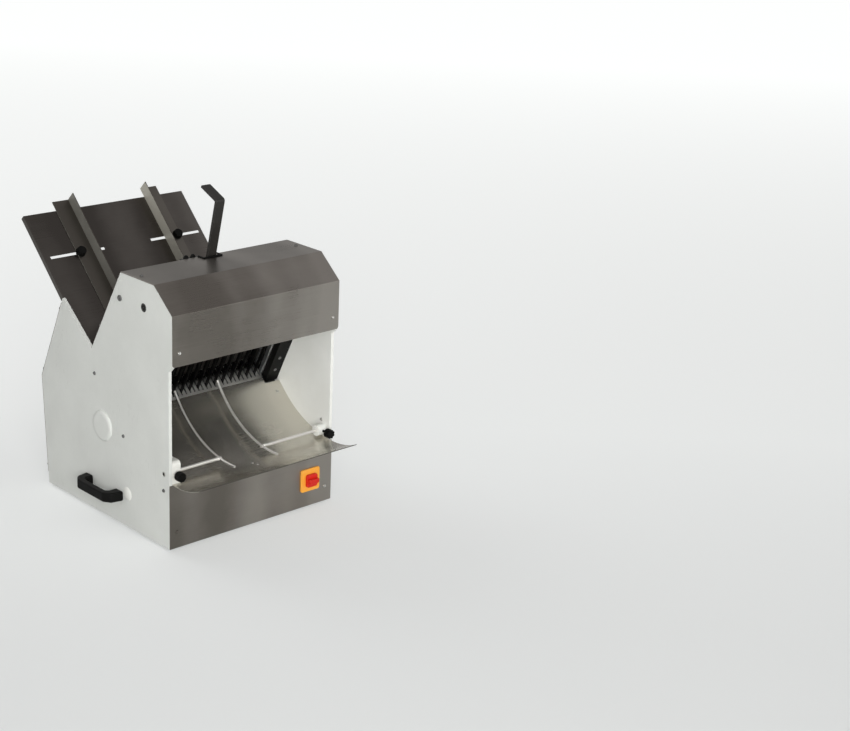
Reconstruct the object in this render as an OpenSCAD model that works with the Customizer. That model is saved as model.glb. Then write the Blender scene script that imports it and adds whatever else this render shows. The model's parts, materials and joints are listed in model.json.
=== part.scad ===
// Counter-top bread slicer: a loaf slides down the feed plate, two blade frames
// that a crank drives in opposite strokes cut it, and the slices leave by the chute.
// X runs across the machine, -Y is the outfeed side and +Z is up.
// The pieces are drawn from the cover's front face and the plates' lower edge.

/* [Body] */
// Clear width between the side plates
inner_w = 454; // [430:2:480]
// Thickness of the side plates
plate_t = 8; // [6:0.5:10]
// Height of the side plates
body_h = 603; // [595:1:610]
// Setback of the lower front below the cover
toe_y = 13; // [11:0.5:16]
// Fall from the top to the cover's lower edge
brow_drop = 171; // [165:1:178]
// Height of the cover's upright front face
face_h = 116; // [108:1:120]
// Depth of the cover's slanted face
slant_y = 66; // [60:1:72]
// Depth of the cover's flat top
top_d = 125; // [120:1:128]
// Depth at the bottom of the V notch
notch_y = 312; // [308:1:316]
// Height of the bottom of the V notch
notch_z = 392; // [388:1:396]
// Depth at the rear upper corner
rear_top_y = 426; // [420:1:432]
// Height of the rear upper corner
rear_top_z = 484; // [480:1:488]
// Depth at the rear corner
rear_mid_y = 524; // [518:1:532]
// Height of the rear corner
rear_mid_z = 270; // [260:1:280]
// Depth at the rear foot
rear_foot_y = 506; // [500:1:512]
// Sheet thickness of the covers and panels
sheet_t = 1.5; // [1.2:0.1:2]
// Thickness of the base plate
base_t = 4; // [3:0.5:6]
// Height of the rubber feet
foot_h = 5; // [4:0.5:10]
// Radius of the rubber feet
foot_r = 16; // [12:1:20]

/* [Bread path] */
// Slope of the feed plate
feed_angle = 44.5; // [43.5:0.5:45.5]
// Depth of the foot of the slope, where the chute's curve ends
feed_y = 182.8; // [180:0.2:185]
// Height of the foot of the slope
feed_z = 230.8; // [229:0.2:233]
// Length of the feed plate above the blades
feed_len = 480; // [460:2:500]
// Depth of the feed plate's folded edges
feed_lip = 12; // [8:1:16]
// Radius of the chute's curve
chute_r = 268; // [255:1:280]
// Radius of the chute's curled lip
lip_r = 182; // [160:1:200]
// Turn of the curled lip
lip_angle = 26; // [22:0.5:30]

/* [Blades] */
// Lean of the blade frames from upright
blade_tilt = 26.5; // [25.5:0.5:27.5]
// Spacing of the slices
slice_w = 12; // [10:0.5:13]
// Width of a blade
blade_w = 10; // [8:0.5:10]
// Thickness of a blade
blade_t = 0.6; // [0.5:0.1:1]
// Pitch of the blade's teeth
tooth_pitch = 9; // [7:0.5:12]
// Depth of the blade's teeth
tooth_depth = 1.4; // [1:0.1:2]
// Distance of a frame from the plane between the frames
frame_v = 14; // [13:0.5:15]
// Thickness of the frames' bars
bar_t = 12; // [10:0.5:12]
// Height of the lower crossbars above the crank
low_bar_u = 36; // [35.5:0.5:37]

/* [Drive] */
// Depth of the crankshaft
crank_y = 270; // [268:0.5:272]
// Height of the crankshaft
crank_z = 218.5; // [216:0.5:220]
// Throw of the crank pins
crank_throw = 10; // [8:0.5:10]
// Radius of the crank journals
journal_r = 10; // [9:0.5:11]
// Radius of the crank pins
pin_r = 8; // [7:0.5:8]
// Running clearance of turning and sliding fits
run_gap = 0.05; // [0.02:0.01:0.09]
// Radius of the crank pulley
pulley_r = 60; // [54:1:62]
// Radius of the motor pulley
motor_pulley_r = 25; // [22:1:30]
// Width of the pulleys
pulley_w = 16; // [12:1:16]
// Thickness of the belt
belt_t = 4; // [3:0.5:5]
// Depth of the motor shaft
motor_y = 416; // [408:1:420]
// Height of the motor shaft
motor_z = 88; // [84:1:92]
// Radius of the motor
motor_r = 60; // [50:1:62]
// Length of the motor
motor_l = 190; // [160:2:194]

/* [Loaf pusher] */
// Depth of the pusher shaft
pivot_y = 194; // [193:0.5:197]
// Radius of the pusher shaft
pivot_r = 10; // [9:0.5:11]
// Width of the push lever
lever_w = 25; // [20:1:30]
// Thickness of the push lever
lever_t = 6; // [5:0.5:8]
// Length of the lever from the shaft to its bend
lever_l = 202; // [190:1:215]
// Forward lean of the lever
lever_lean = 13.5; // [12:0.5:14]
// Length of the lever's bent tip
lever_tip = 56; // [45:1:65]
// Upward slope of the lever's bent tip
tip_rise = 23; // [10:1:30]
// Reach of the pusher plate
pusher_reach = 140; // [125:1:145]
// Width of the pusher plate
pusher_w = 240; // [200:2:260]
// Fall of the pusher arms from level
pusher_droop = 5; // [3:0.5:10]

/* [Guides and knobs] */
// Width of the feed guides' flat flange
flange_w = 46; // [42:1:47]
// Height of the feed guides' upright flange
upright_h = 31; // [26:1:34]
// Overhang of the feed guides above the feed plate
guide_over = 24; // [16:1:30]
// Fold line of the left feed guide
left_fold = -92; // [-100:1:-88]
// Fold line of the right feed guide
right_fold = 114; // [106:1:118]
// Distance of the slots below the feed plate's top edge
slot_drop = 120; // [110:1:130]
// Radius of the feed guide knobs
knob_r = 14; // [12:0.5:15]
// Radius of the wire guides
wire_r = 3; // [2.5:0.5:3.5]
// Radius of the wire guides' rods
rod_r = 4; // [3.5:0.5:5]
// Depth of the wire guides' rods
rod_y = 35; // [33:0.5:37]
// Height of the wire guides above the chute
wire_lift = 18; // [14:1:22]
// Place of the left wire guide
left_wire_x = -81; // [-90:1:-70]
// Place of the right wire guide
right_wire_x = 42; // [38:1:60]
// Radius of the rod clamp knobs
clamp_r = 11; // [8:0.5:12]
// Spacing of the handle posts
handle_span = 122; // [115:1:140]
// Distance of the handle grip from the plate
handle_out = 42; // [38:1:50]
// Side of the switch plate
switch_w = 56; // [50:1:60]
// Radius of the switch knob
switch_r = 16; // [13:0.5:18]

/* [Hidden] */
$fn = 64;
seat_gap = 0.3;
// Overrun of a cutting shape past the piece it cuts
cut = 1;
half_w = inner_w / 2;
outer_w = half_w + plate_t;
panel_w = inner_w - 2 * seat_gap;

// Side plate outline: the cover and the front panel lie over its front and top edges
brow_z = body_h - brow_drop;
skin = sheet_t + seat_gap;
face_top_z = brow_z + face_h;
top_y = slant_y + top_d;
front_low = [toe_y + skin, 0];
brow_low = [toe_y + skin, brow_z - toe_y];
brow = [0, brow_z];
face_top = [0, face_top_z];
slant_top = [slant_y, body_h];
notch_front = [top_y, body_h];
notch_low = [notch_y, notch_z];
rear_top = [rear_top_y, rear_top_z];
rear_mid = [rear_mid_y, rear_mid_z];
rear_foot = [rear_foot_y, 0];

// Bread path: the chute's curve ends where it meets the feed plate's slope
chute_c = [feed_y - chute_r * sin(feed_angle), feed_z + chute_r * cos(feed_angle)];
lip_c = [chute_c[0], chute_c[1] - chute_r + lip_r];
feed_t = sheet_t;

// Blade plane, with u along the blades and v across them
path_tilt = feed_angle - blade_tilt;
path_v = (feed_y - crank_y) * cos(blade_tilt) + (feed_z - crank_z) * sin(blade_tilt);
function along_feed(v) = (v - path_v) / cos(path_tilt);
comb_t = 3.5;
comb_gap = 5;
comb_land = 11;
comb_front = along_feed(-frame_v - blade_w / 2 - comb_land);
slot_front = along_feed(-frame_v - blade_w / 2 - comb_gap);
comb_rear = along_feed(frame_v + blade_w / 2 + comb_gap);
comb_lap = 16;
slot_w = 3;
blade_margin = 45;
front_count = floor((half_w - blade_margin) / slice_w);
rear_count = front_count + 1;
blade_span = (rear_count - 1) * slice_w;
comb_w = 2 * blade_span + 8;
feed_low = comb_rear + 2;
feed_top = feed_low + feed_len;
bar_w = 18;
bar_gap = 6;
bar_in = blade_span + bar_gap;
bar_out = bar_in + bar_w;
bar_h = 15;
top_bar_h = 22;
top_room = 121.5;
top_bar_u = (body_h - crank_z) / cos(blade_tilt) - top_room;
groove_v = frame_v - bar_t / 2;
channel_wall = 18;
channel_v = frame_v + bar_t / 2 + channel_wall;
channel_low = 54;
channel_clear = 3;
channel_over = 15;
channel_top = top_bar_u + top_bar_h + channel_over;
channel_in = bar_in + 4;
corner_gap = 2;
side_cut = bar_in - corner_gap;
chute_corner_gap = 8;
corner_front = along_feed(-channel_v - chute_corner_gap);
corner_rear = along_feed(channel_v + corner_gap) + bar_w;

// Drive
web_wall = 4;
web_r = pin_r + crank_throw + web_wall;
web_t = 8;
yoke_t = 10;
yoke_gap = 2;
yoke_in = 36;
yoke_pitch = 40;
rear_yoke_x = bar_in - yoke_in;
front_yoke_x = rear_yoke_x - yoke_pitch;
// A straight-line ratio stands in for the sine, so the slot takes up their difference
sine_slack = 0.2105 * crank_throw;
yoke_slot_h = pin_r + sine_slack + seat_gap;
yoke_slot_v = crank_throw + 1;
yoke_wall = 7;
yoke_half_v = yoke_slot_v + yoke_slot_h + yoke_wall;
yoke_top = low_bar_u - 2 * crank_throw - 1;
yoke_low = -yoke_slot_h - yoke_wall;
bearing_r = 22;
cap_r = 37;
cap_hole_r = 18;
cap_t = 6;
shaft_over = 2;
belt_x = bar_out + 2.5;
rim_t = 2;
rim_h = 3;
pulley_holes = 5;
pulley_hole_r = 12;
motor_x = belt_x - pulley_w;
motor_shaft_r = 7;
motor_core_r = motor_r - 4;
motor_bell_l = 14;
motor_fan_l = 40;
motor_ribs = 16;
motor_rib_t = 3;
terminal_in = 120;
terminal_x = motor_x - terminal_in;
terminal_l = 70;
terminal_w = 50;
terminal_h = 26;
mount_l = 22;
mount_in = 8;
mount_foot_w = 100;
mount_saddle_w = 66;
mount_foot_h = 6;
belt_run = sqrt(pow(motor_y - crank_y, 2) + pow(motor_z - crank_z, 2));
belt_turn = atan2(motor_z - crank_z, motor_y - crank_y);
belt_lean = asin((pulley_r - motor_pulley_r) / belt_run);
belt_steps = 36;
// The belt's flat steps cut inside its arcs, so its inner loop stands off by more than that
belt_gap = seat_gap + pulley_r * (1 - cos(180 / belt_steps));

// Supports
shaft_drop = 61;
pivot_z = body_h - shaft_drop;
tie_y = 105;
tie_z = body_h - shaft_drop;
tie_r = 10;
base_gap = 2;
rod_play = 2;
panel_fold = 14;
panel_screw_in = 12;
panel_screw_z = 38;
cover_fold = 10;
bar_flat_t = 10;
bar_flat_w = 25;
feed_bar_s = 158;
feed_bar_w = -feed_t - bar_flat_t / 2;
chute_bar_side = 24;
chute_bar_angle = feed_angle - 1;
chute_bar_r = chute_r + sheet_t + chute_bar_side / 2;
chute_bar_y = chute_c[0] + chute_bar_r * sin(chute_bar_angle);
chute_bar_z = chute_c[1] - chute_bar_r * cos(chute_bar_angle);
lug = 20;
lug_t = 12;
lug_x = half_w - lug / 2;
cover_screw_up = 31;
cover_screw_in = 71;
cover_screw_z = brow_z + cover_screw_up;
cover_screw_y = slant_y + cover_screw_in;
screw_r = 4.5;
screw_h = 2.5;
screw_taper = 1;

// Rear cover
rear_gap = 28;
flange_l = 30;
vent_count = 7;
vent_pitch = 14;
vent_h = 5;
vent_l = 90;
vent_x = 20;
vent_z = 150;
lip_in = panel_w / 2 - feed_t - seat_gap;
rear_screw_in = 18;
gland_in = 77;
gland_x = gland_in - half_w;
gland_z = 70;
gland_r = 9;
gland_nut_r = 13;
gland_bore_r = 4;
gland_step = 8;

// Pusher
pivot_pin_r = 6;
pivot_pin_in = 20;
collar_r = pivot_r + 6;
arm_w = 20;
arm_t = 5;
arm_x = 90;
arm_in = 10;
pad_t = 8;
pad_h = 55;
pad_slot_w = 4;
lever_slot_w = lever_w + 2 * cover_fold;
lever_front = pivot_y - (body_h - pivot_z) * tan(lever_lean) - lever_t / cos(lever_lean);

// Guides and knobs
guide_low = feed_low + 20;
guide_t = 2;
knob_off = 36;
stud_r = 3;
slot_s = feed_top - slot_drop;
slot_gap = 0.5;
slot_in = [18, 8];
left_slot = [slot_in[0] - half_w, -60];
right_slot = [73, half_w - slot_in[1]];
knob_h = 16;
knob_taper = 2;
knob_skirt = 4;
knob_grips = 6;
grip_r = 5;
grip_out = knob_r + 2.5;
washer_r = 9;
washer_t = 4;
block_w = 24;
rod_z = chute_c[1] - sqrt(pow(chute_r - wire_lift, 2) - pow(rod_y - chute_c[0], 2));
block_drop = 47;
block_low = rod_z - block_drop;
block_h = 78;
block_round = 10;
bush_r = 13;
block_gap = 1;
block_y = toe_y + sheet_t + 1.5;
block_d = 2 * (rod_y - block_y);
block_screw_drop = 39;
block_screw_z = rod_z - block_screw_drop;
clamp_l = 15;
clamp_skirt = 3;
clamp_grips = 8;
clamp_grip_r = 3;
clamp_grip_out = clamp_r + 1.5;
clamp_front = toe_y - 20;
clamp_tip = rod_y - rod_r - seat_gap;
wire_top = 13;
wire_front = 3.5;
handle_y = 266.5;
handle_z = 69.5;
handle_pad = 28;
handle_h = 24;
handle_t = 15;
handle_slope = 12;
plug_y = 176;
plug_z = 81;
plug_r = 16;
plug_t = 3;
switch_in = 59;
switch_x = half_w - switch_in;
switch_z = 67;
switch_t = 4;
switch_knob_h = 15;
switch_grip_w = 10;
switch_stem_r = 4;
switch_stem_in = 12;
switch_hole_r = 17;
switch_body_w = 46;
switch_body_d = 40;
foot_in = 45;

// The whole part stands on its feet, centred on its box
front_end = lip_c[0] - lip_r * sin(lip_angle) - sheet_t * sin(lip_angle);
rear_end = feed_y + (feed_top + guide_over) * cos(feed_angle) - seat_gap * sin(feed_angle);
mid_y = (front_end + rear_end) / 2;

// Colours
white_paint = [0.80, 0.81, 0.79];
steel = [0.55, 0.54, 0.52];
black = [0.10, 0.10, 0.09];
white_plastic = [0.90, 0.90, 0.88];
bright = [0.72, 0.72, 0.72];
grey = [0.40, 0.42, 0.44];

// Shared placing

// Draws a (y, z) profile across the machine from x0 to x1
module across(x0, x1)
    translate([x0, 0, 0])
        rotate([90, 0, 90])
            linear_extrude(x1 - x0)
                children();

module rod(x0, x1, y, z, r)
    across(x0, x1)
        translate([y, z])
            circle(r);

// Local axes of the feed plane: y up the slope, z square to it
module on_feed()
    translate([0, feed_y, feed_z])
        rotate([feed_angle, 0, 0])
            children();

// Local axes of the blade frames: y across the blades, z along them
module on_blades()
    translate([0, crank_y, crank_z])
        rotate([blade_tilt, 0, 0])
            children();

module box(low, high)
    translate(low)
        cube(high - low);

module both_sides()
    for (side = [0, 1])
        mirror([side, 0, 0])
            children();

// Ring sector between two angles, measured from straight down
module bend(c, r, t, a0, a1) {
    far = 3 * (r + t);
    translate(c)
        intersection() {
            difference() {
                circle(r + t, $fn = 180);
                circle(r, $fn = 180);
            }
            polygon([
                [0, 0],
                far * [sin(a0), -cos(a0)],
                far * [sin((a0 + a1) / 2), -cos((a0 + a1) / 2)],
                far * [sin(a1), -cos(a1)]
            ]);
        }
}

// Outline of a folded sheet, t thick on the left of its line of points
function unit(p) = p / norm(p);
function left_of(p) = [-p[1], p[0]];
function side_at(pts, i) = left_of(unit(pts[i + 1] - pts[i]));
function outset(pts, i, t) =
    let (
        last = len(pts) - 1,
        a = side_at(pts, max(i - 1, 0)),
        b = side_at(pts, min(i, last - 1))
    )
    pts[i] + t * (a + b) / (1 + a * b);
module folded(pts, t) {
    last = len(pts) - 1;
    polygon(concat(pts, [for (i = [last:-1:0]) outset(pts, i, t)]));
}

// Body

cover_line = [brow, face_top, slant_top, notch_front];
module plate_outline()
    polygon(concat(
        [front_low, brow_low],
        [for (i = [0:len(cover_line) - 1]) outset(cover_line, i, -skin)],
        [notch_low, rear_top, rear_mid, rear_foot]
    ));

module side_plate(side) {
    x0 = side < 0 ? -outer_w : half_w;
    difference() {
        across(x0, x0 + plate_t)
            plate_outline();
        rod(x0 - cut, x0 + plate_t + cut, crank_y, crank_z, bearing_r);
        rod(x0 - cut, x0 + plate_t + cut, tie_y, tie_z, tie_r);
        rod(x0 - cut, x0 + plate_t + cut, pivot_y, pivot_z, pivot_pin_r);
        rod(x0 - cut, x0 + plate_t + cut, rod_y, rod_z, rod_r + rod_play);
    }
}

module left_side_plate()
    color(white_paint)
        side_plate(-1);

module right_side_plate()
    color(white_paint)
        side_plate(1);

module base_plate()
    color(grey)
        box([-half_w, toe_y + sheet_t, 0], [half_w, rear_foot_y - base_gap, base_t]);

// The front panel's upper fold ends under the chute's curve
module front_panel() {
    under_r = chute_r + sheet_t;
    top_z = chute_c[1] - sqrt(pow(under_r, 2) - pow(toe_y - chute_c[0], 2)) - seat_gap;
    color(steel)
        difference() {
            union() {
                across(-outer_w, outer_w)
                    folded([[toe_y, 0], [toe_y, top_z]], -sheet_t);
                across(-panel_w / 2, panel_w / 2)
                    folded([[toe_y, top_z], [toe_y + panel_fold, top_z]], -sheet_t);
            }
            translate([switch_x, toe_y - cut, switch_z])
                rotate([-90, 0, 0])
                    cylinder(r = switch_hole_r, h = sheet_t + 2 * cut);
            block_room();
        }
}

// Room for the left rod block in the panel's fold and the chute
module block_room()
    box([-half_w - cut, block_y - block_gap, block_low],
        [block_w + block_gap - half_w, block_y + block_d + block_gap, block_low + block_h]);

module top_cover()
    color(steel)
        difference() {
            union() {
                across(-outer_w, outer_w)
                    folded(cover_line, -sheet_t);
                across(-panel_w / 2, panel_w / 2)
                    folded([[sheet_t + lug_t, brow_z], brow], -sheet_t);
                across(-panel_w / 2, panel_w / 2)
                    folded([notch_front, notch_front - [0, cover_fold]], -sheet_t);
            }
            box([-lever_slot_w / 2, lever_front - seat_gap, body_h - 2 * cover_fold],
                [lever_slot_w / 2, top_y + cut, body_h + cut]);
        }

// The rear cover's line runs from under the feed plate down the plates' rear edges
feed_dir = [cos(feed_angle), sin(feed_angle)];
feed_up = left_of(feed_dir);
rear_dir = unit(rear_mid - rear_top);
under_feed = [feed_y, feed_z] - (feed_t + sheet_t) * feed_up;
meet = (rear_top - under_feed) * left_of(rear_dir) / (feed_dir * left_of(rear_dir));
rear_start = under_feed + meet * feed_dir;
foot_dir = (rear_foot - rear_mid) / (rear_mid[1] - rear_foot[1]);
rear_end_low = rear_mid + (rear_mid_z - rear_gap) * foot_dir;

module rear_cover()
    color(steel)
        difference() {
            union() {
                across(-outer_w, outer_w)
                    folded([rear_start, rear_mid, rear_end_low], sheet_t);
                across(-lip_in, lip_in)
                    folded([rear_start - flange_l * feed_dir, rear_start], sheet_t);
                across(-lip_in, lip_in)
                    translate(rear_start)
                        circle(sheet_t, $fn = 32);
            }
            on_feed()
                both_sides()
                    box([lip_in, meet - 2 * feed_lip, -feed_lip - cut],
                        [half_w, meet + 2 * feed_lip, cut]);
            for (i = [0:vent_count - 1])
                box([-vent_l - vent_x, rear_foot_y, vent_z + i * vent_pitch],
                    [-vent_x, rear_mid_y + 2 * sheet_t, vent_z + i * vent_pitch + vent_h]);
            translate([gland_x, rear_foot_y, gland_z])
                rotate([-90, 0, 0])
                    cylinder(r = gland_r, h = 2 * gland_step);
        }

module feed_plate()
    color(steel)
        on_feed()
            difference() {
                box([-panel_w / 2, feed_low, -feed_lip], [panel_w / 2, feed_top, 0]);
                box([-panel_w / 2 + feed_t, feed_low - cut, -feed_lip - cut],
                    [panel_w / 2 - feed_t, feed_top - feed_t, -feed_t]);
                both_sides()
                    box([side_cut, feed_low - cut, -feed_lip - cut], [half_w, corner_rear, cut]);
                both_sides()
                    box([lip_in, feed_bar_s - bar_flat_w, -feed_lip - cut],
                        [half_w, feed_bar_s + bar_flat_w, -feed_t]);
                for (run = [left_slot, right_slot])
                    box([run[0], slot_s - stud_r - slot_gap, -feed_t - cut],
                        [run[1], slot_s + stud_r + slot_gap, cut]);
            }

module outfeed_chute()
    color(steel)
        difference() {
            union() {
                on_feed()
                    box([-panel_w / 2, 0, -sheet_t], [panel_w / 2, comb_front - seat_gap, 0]);
                across(-panel_w / 2, panel_w / 2)
                    bend(chute_c, chute_r, sheet_t, 0, feed_angle);
                across(-panel_w / 2, panel_w / 2)
                    bend(lip_c, lip_r, sheet_t, -lip_angle, 0);
            }
            on_feed()
                both_sides()
                    box([side_cut, corner_front, -feed_lip], [half_w, comb_front + cut, feed_lip]);
            block_room();
        }

module blade_comb()
    color(bright)
        on_feed()
            difference() {
                union() {
                    box([-comb_w / 2, comb_front, -comb_t], [comb_w / 2, comb_rear, 0]);
                    box([-comb_w / 2, comb_front - comb_lap, -comb_t],
                        [comb_w / 2, comb_front + cut, -sheet_t]);
                }
                for (i = [0:2 * front_count])
                    translate([i * slice_w - blade_span, 0, 0])
                        box([-slot_w / 2, slot_front, -comb_t - cut], [slot_w / 2, comb_rear + cut, cut]);
            }

module guide_channel()
    on_blades()
        difference() {
            box([channel_in, -channel_v, channel_low], [half_w, channel_v, channel_top]);
            translate([channel_in - cut, 0, 0])
                rotate([0, 90, 0])
                    cylinder(r = pulley_r + rim_h + channel_clear, h = half_w);
            for (side = [-1, 1])
                translate([0, side * frame_v, 0])
                    box([channel_in - cut, -bar_t / 2 - run_gap, channel_low - cut],
                        [bar_out + run_gap, bar_t / 2 + run_gap, channel_top + cut]);
        }

module left_guide_channel()
    color(black)
        mirror([1, 0, 0])
            guide_channel();

module right_guide_channel()
    color(black)
        guide_channel();

module upper_tie_bar()
    color(black)
        rod(-outer_w, outer_w, tie_y, tie_z, tie_r);

module feed_support_bar()
    color(grey)
        on_feed()
            translate([-half_w, feed_bar_s - bar_flat_w / 2, feed_bar_w - bar_flat_t / 2])
                cube([inner_w, bar_flat_w, bar_flat_t]);

module chute_support_bar()
    color(grey)
        across(-half_w, half_w)
            translate([chute_bar_y, chute_bar_z])
                rotate(chute_bar_angle)
                    square(chute_bar_side, center = true);

// Bridge handle, drawn from above with y along the grip
module handle() {
    end = handle_span / 2 + handle_pad / 2;
    slope = handle_slope;
    inner = end - handle_pad;
    translate([outer_w, handle_y, handle_z - handle_h / 2])
        linear_extrude(handle_h)
            difference() {
                polygon([
                    [0, -end], [0, end], [handle_out - slope, end - slope / 2],
                    [handle_out, end - 2 * slope], [handle_out, 2 * slope - end],
                    [handle_out - slope, slope / 2 - end]
                ]);
                polygon([
                    [-cut, -inner], [handle_out - handle_t - slope / 2, -inner],
                    [handle_out - handle_t, slope / 2 - inner],
                    [handle_out - handle_t, inner - slope / 2],
                    [handle_out - handle_t - slope / 2, inner], [-cut, inner]
                ]);
            }
}

module left_handle()
    color(black)
        mirror([1, 0, 0])
            handle();

module right_handle()
    color(black)
        handle();

module bearing()
    difference() {
        rod(half_w, outer_w, crank_y, crank_z, bearing_r);
        rod(half_w - cut, outer_w + cut, crank_y, crank_z, journal_r + run_gap);
    }

module left_bearing()
    color(bright)
        mirror([1, 0, 0])
            bearing();

module right_bearing()
    color(bright)
        bearing();

module bearing_cap()
    difference() {
        rod(outer_w, outer_w + cap_t, crank_y, crank_z, cap_r);
        rod(outer_w - cut, outer_w + shaft_over + cut, crank_y, crank_z, cap_hole_r);
    }

module left_bearing_cap()
    color(white_plastic)
        mirror([1, 0, 0])
            bearing_cap();

module right_bearing_cap()
    color(white_plastic)
        bearing_cap();

// Bores of the rod holders for the rod and for the clamp's stud
module rod_bores() {
    rod(half_w - block_w - cut, half_w + cut, rod_y, rod_z, rod_r + run_gap);
    translate([half_w - block_w / 2, block_y - cut, rod_z])
        rotate([-90, 0, 0])
            cylinder(r = stud_r + run_gap, h = rod_y - block_y + cut);
}

// The left holder is an upright block with a round upper front edge
module left_rod_block()
    color(white_plastic)
        mirror([1, 0, 0])
            difference() {
                across(half_w - block_w, half_w)
                    difference() {
                        translate([block_y, block_low])
                            square([block_d, block_h]);
                        translate([block_y, block_low + block_h - block_round])
                            difference() {
                                translate([-cut, 0])
                                    square([block_round + cut, block_round + cut]);
                                translate([block_round, 0])
                                    circle(block_round);
                            }
                    }
                rod_bores();
            }

// The right holder is a round bush
module right_rod_block()
    color(white_plastic)
        difference() {
            rod(half_w - block_w, half_w, rod_y, rod_z, bush_r);
            rod_bores();
        }

module round_plug()
    color(white_plastic)
        rod(-outer_w - plug_t, -outer_w, plug_y, plug_z, plug_r);

module switch_plate()
    color([0.94, 0.66, 0.20])
        difference() {
            translate([switch_x - switch_w / 2, toe_y - switch_t, switch_z - switch_w / 2])
                cube([switch_w, switch_t, switch_w]);
            translate([switch_x, toe_y - switch_t - cut, switch_z])
                rotate([-90, 0, 0])
                    cylinder(r = switch_stem_r + run_gap, h = switch_t + 2 * cut);
        }

module switch_body()
    color(black)
        translate([switch_x, toe_y, switch_z])
            rotate([-90, 0, 0])
                difference() {
                    union() {
                        cylinder(r = switch_hole_r - seat_gap, h = sheet_t + cut);
                        translate([-switch_body_w / 2, -switch_body_w / 2, sheet_t])
                            cube([switch_body_w, switch_body_w, switch_body_d]);
                    }
                    translate([0, 0, -cut])
                        cylinder(r = switch_stem_r + run_gap, h = switch_stem_in + 2 * cut);
                }

module switch_knob()
    color([0.84, 0.16, 0.08])
        translate([switch_x, toe_y - switch_t - seat_gap, switch_z])
            rotate([90, 0, 0]) {
                cylinder(r = switch_r, h = switch_knob_h / 3);
                intersection() {
                    cylinder(r = switch_r, h = switch_knob_h);
                    translate([-switch_r, -switch_grip_w / 2, 0])
                        cube([2 * switch_r, switch_grip_w, switch_knob_h]);
                }
                translate([0, 0, -switch_t - switch_stem_in])
                    cylinder(r = switch_stem_r, h = switch_t + switch_stem_in + cut);
            }

// Drive

module motor_housing() {
    fan_end = motor_x - motor_l;
    color(grey)
        difference() {
            union() {
                rod(fan_end, motor_x - motor_bell_l, motor_y, motor_z, motor_core_r);
                rod(motor_x - motor_bell_l, motor_x, motor_y, motor_z, motor_r);
                rod(fan_end, fan_end + motor_fan_l, motor_y, motor_z, motor_r);
                for (i = [0:motor_ribs - 1])
                    translate([0, motor_y, motor_z])
                        rotate([i * 360 / motor_ribs, 0, 0])
                            box([fan_end + motor_fan_l - cut, -motor_rib_t / 2, motor_core_r - cut],
                                [motor_x - motor_bell_l + cut, motor_rib_t / 2, motor_r]);
                box([terminal_x, motor_y - terminal_w / 2, motor_z + motor_core_r / 2],
                    [terminal_x + terminal_l, motor_y + terminal_w / 2, motor_z + motor_r + terminal_h]);
            }
            rod(motor_x - motor_l / 2, motor_x + cut, motor_y, motor_z, motor_shaft_r + run_gap);
        }
}

module motor_mount()
    color(grey)
        for (x = [motor_x - motor_l + mount_in, motor_x - mount_l - mount_in])
            difference() {
                union() {
                    box([x, motor_y - mount_foot_w / 2, base_t],
                        [x + mount_l, motor_y + mount_foot_w / 2, base_t + mount_foot_h]);
                    box([x, motor_y - mount_saddle_w / 2, base_t],
                        [x + mount_l, motor_y + mount_saddle_w / 2, motor_z - motor_r / 2]);
                }
                rod(x - cut, x + mount_l + cut, motor_y, motor_z, motor_r + run_gap);
            }

// Loop round two pulleys, g outside their rims, as two arcs joined by straight runs
function arc(c, r, a0, a1, steps) =
    [for (i = [0:steps]) let (a = a0 + (a1 - a0) * i / steps) c + r * [cos(a), sin(a)]];
module belt_loop(g) {
    turn = 90 - belt_lean;
    polygon(concat(
        arc([0, 0], pulley_r + g, turn, 360 - turn, belt_steps),
        arc([belt_run, 0], motor_pulley_r + g, -turn, turn, belt_steps)
    ));
}

module drive_belt()
    color(black)
        across(belt_x + rim_t, belt_x + pulley_w - rim_t)
            translate([crank_y, crank_z])
                rotate(belt_turn)
                    difference() {
                        belt_loop(belt_t);
                        belt_loop(belt_gap);
                    }

module cable_gland()
    color(black)
        translate([gland_x, rear_foot_y, gland_z])
            rotate([-90, 0, 0])
                difference() {
                    union() {
                        cylinder(r = gland_r - run_gap, h = gland_step + cut);
                        translate([0, 0, gland_step])
                            cylinder(r = gland_nut_r, h = gland_step, $fn = 6);
                        translate([0, 0, 2 * gland_step - cut])
                            cylinder(r = gland_r, h = gland_step + cut);
                    }
                    translate([0, 0, -cut])
                        cylinder(r = gland_bore_r, h = 3 * gland_step + 2 * cut);
                }

module rubber_feet()
    color(black)
        for (x = [-1, 1], y = [toe_y + foot_in, rear_foot_y - foot_in])
            translate([x * (half_w - foot_in), y, -foot_h])
                cylinder(r1 = foot_r - screw_taper, r2 = foot_r, h = foot_h);

module cover_lugs()
    color(white_paint)
        both_sides() {
            box([half_w - lug, sheet_t, cover_screw_z - lug / 2],
                [half_w, sheet_t + lug_t, cover_screw_z + lug / 2]);
            box([half_w - lug, cover_screw_y - lug / 2, body_h - sheet_t - lug_t],
                [half_w, cover_screw_y + lug / 2, body_h - sheet_t]);
        }

module pivot_pins()
    color(bright)
        both_sides() {
            rod(half_w - pivot_pin_in, outer_w, pivot_y, pivot_z, pivot_pin_r - run_gap);
            rod(outer_w, outer_w + screw_h, pivot_y, pivot_z, pivot_pin_r + screw_taper);
        }

// A pan-head screw is drawn as its head alone
module pan_head()
    cylinder(r1 = screw_r, r2 = screw_r - screw_taper, h = screw_h);

module side_screw(y, z)
    translate([outer_w, y, z])
        rotate([0, 90, 0])
            pan_head();

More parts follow.
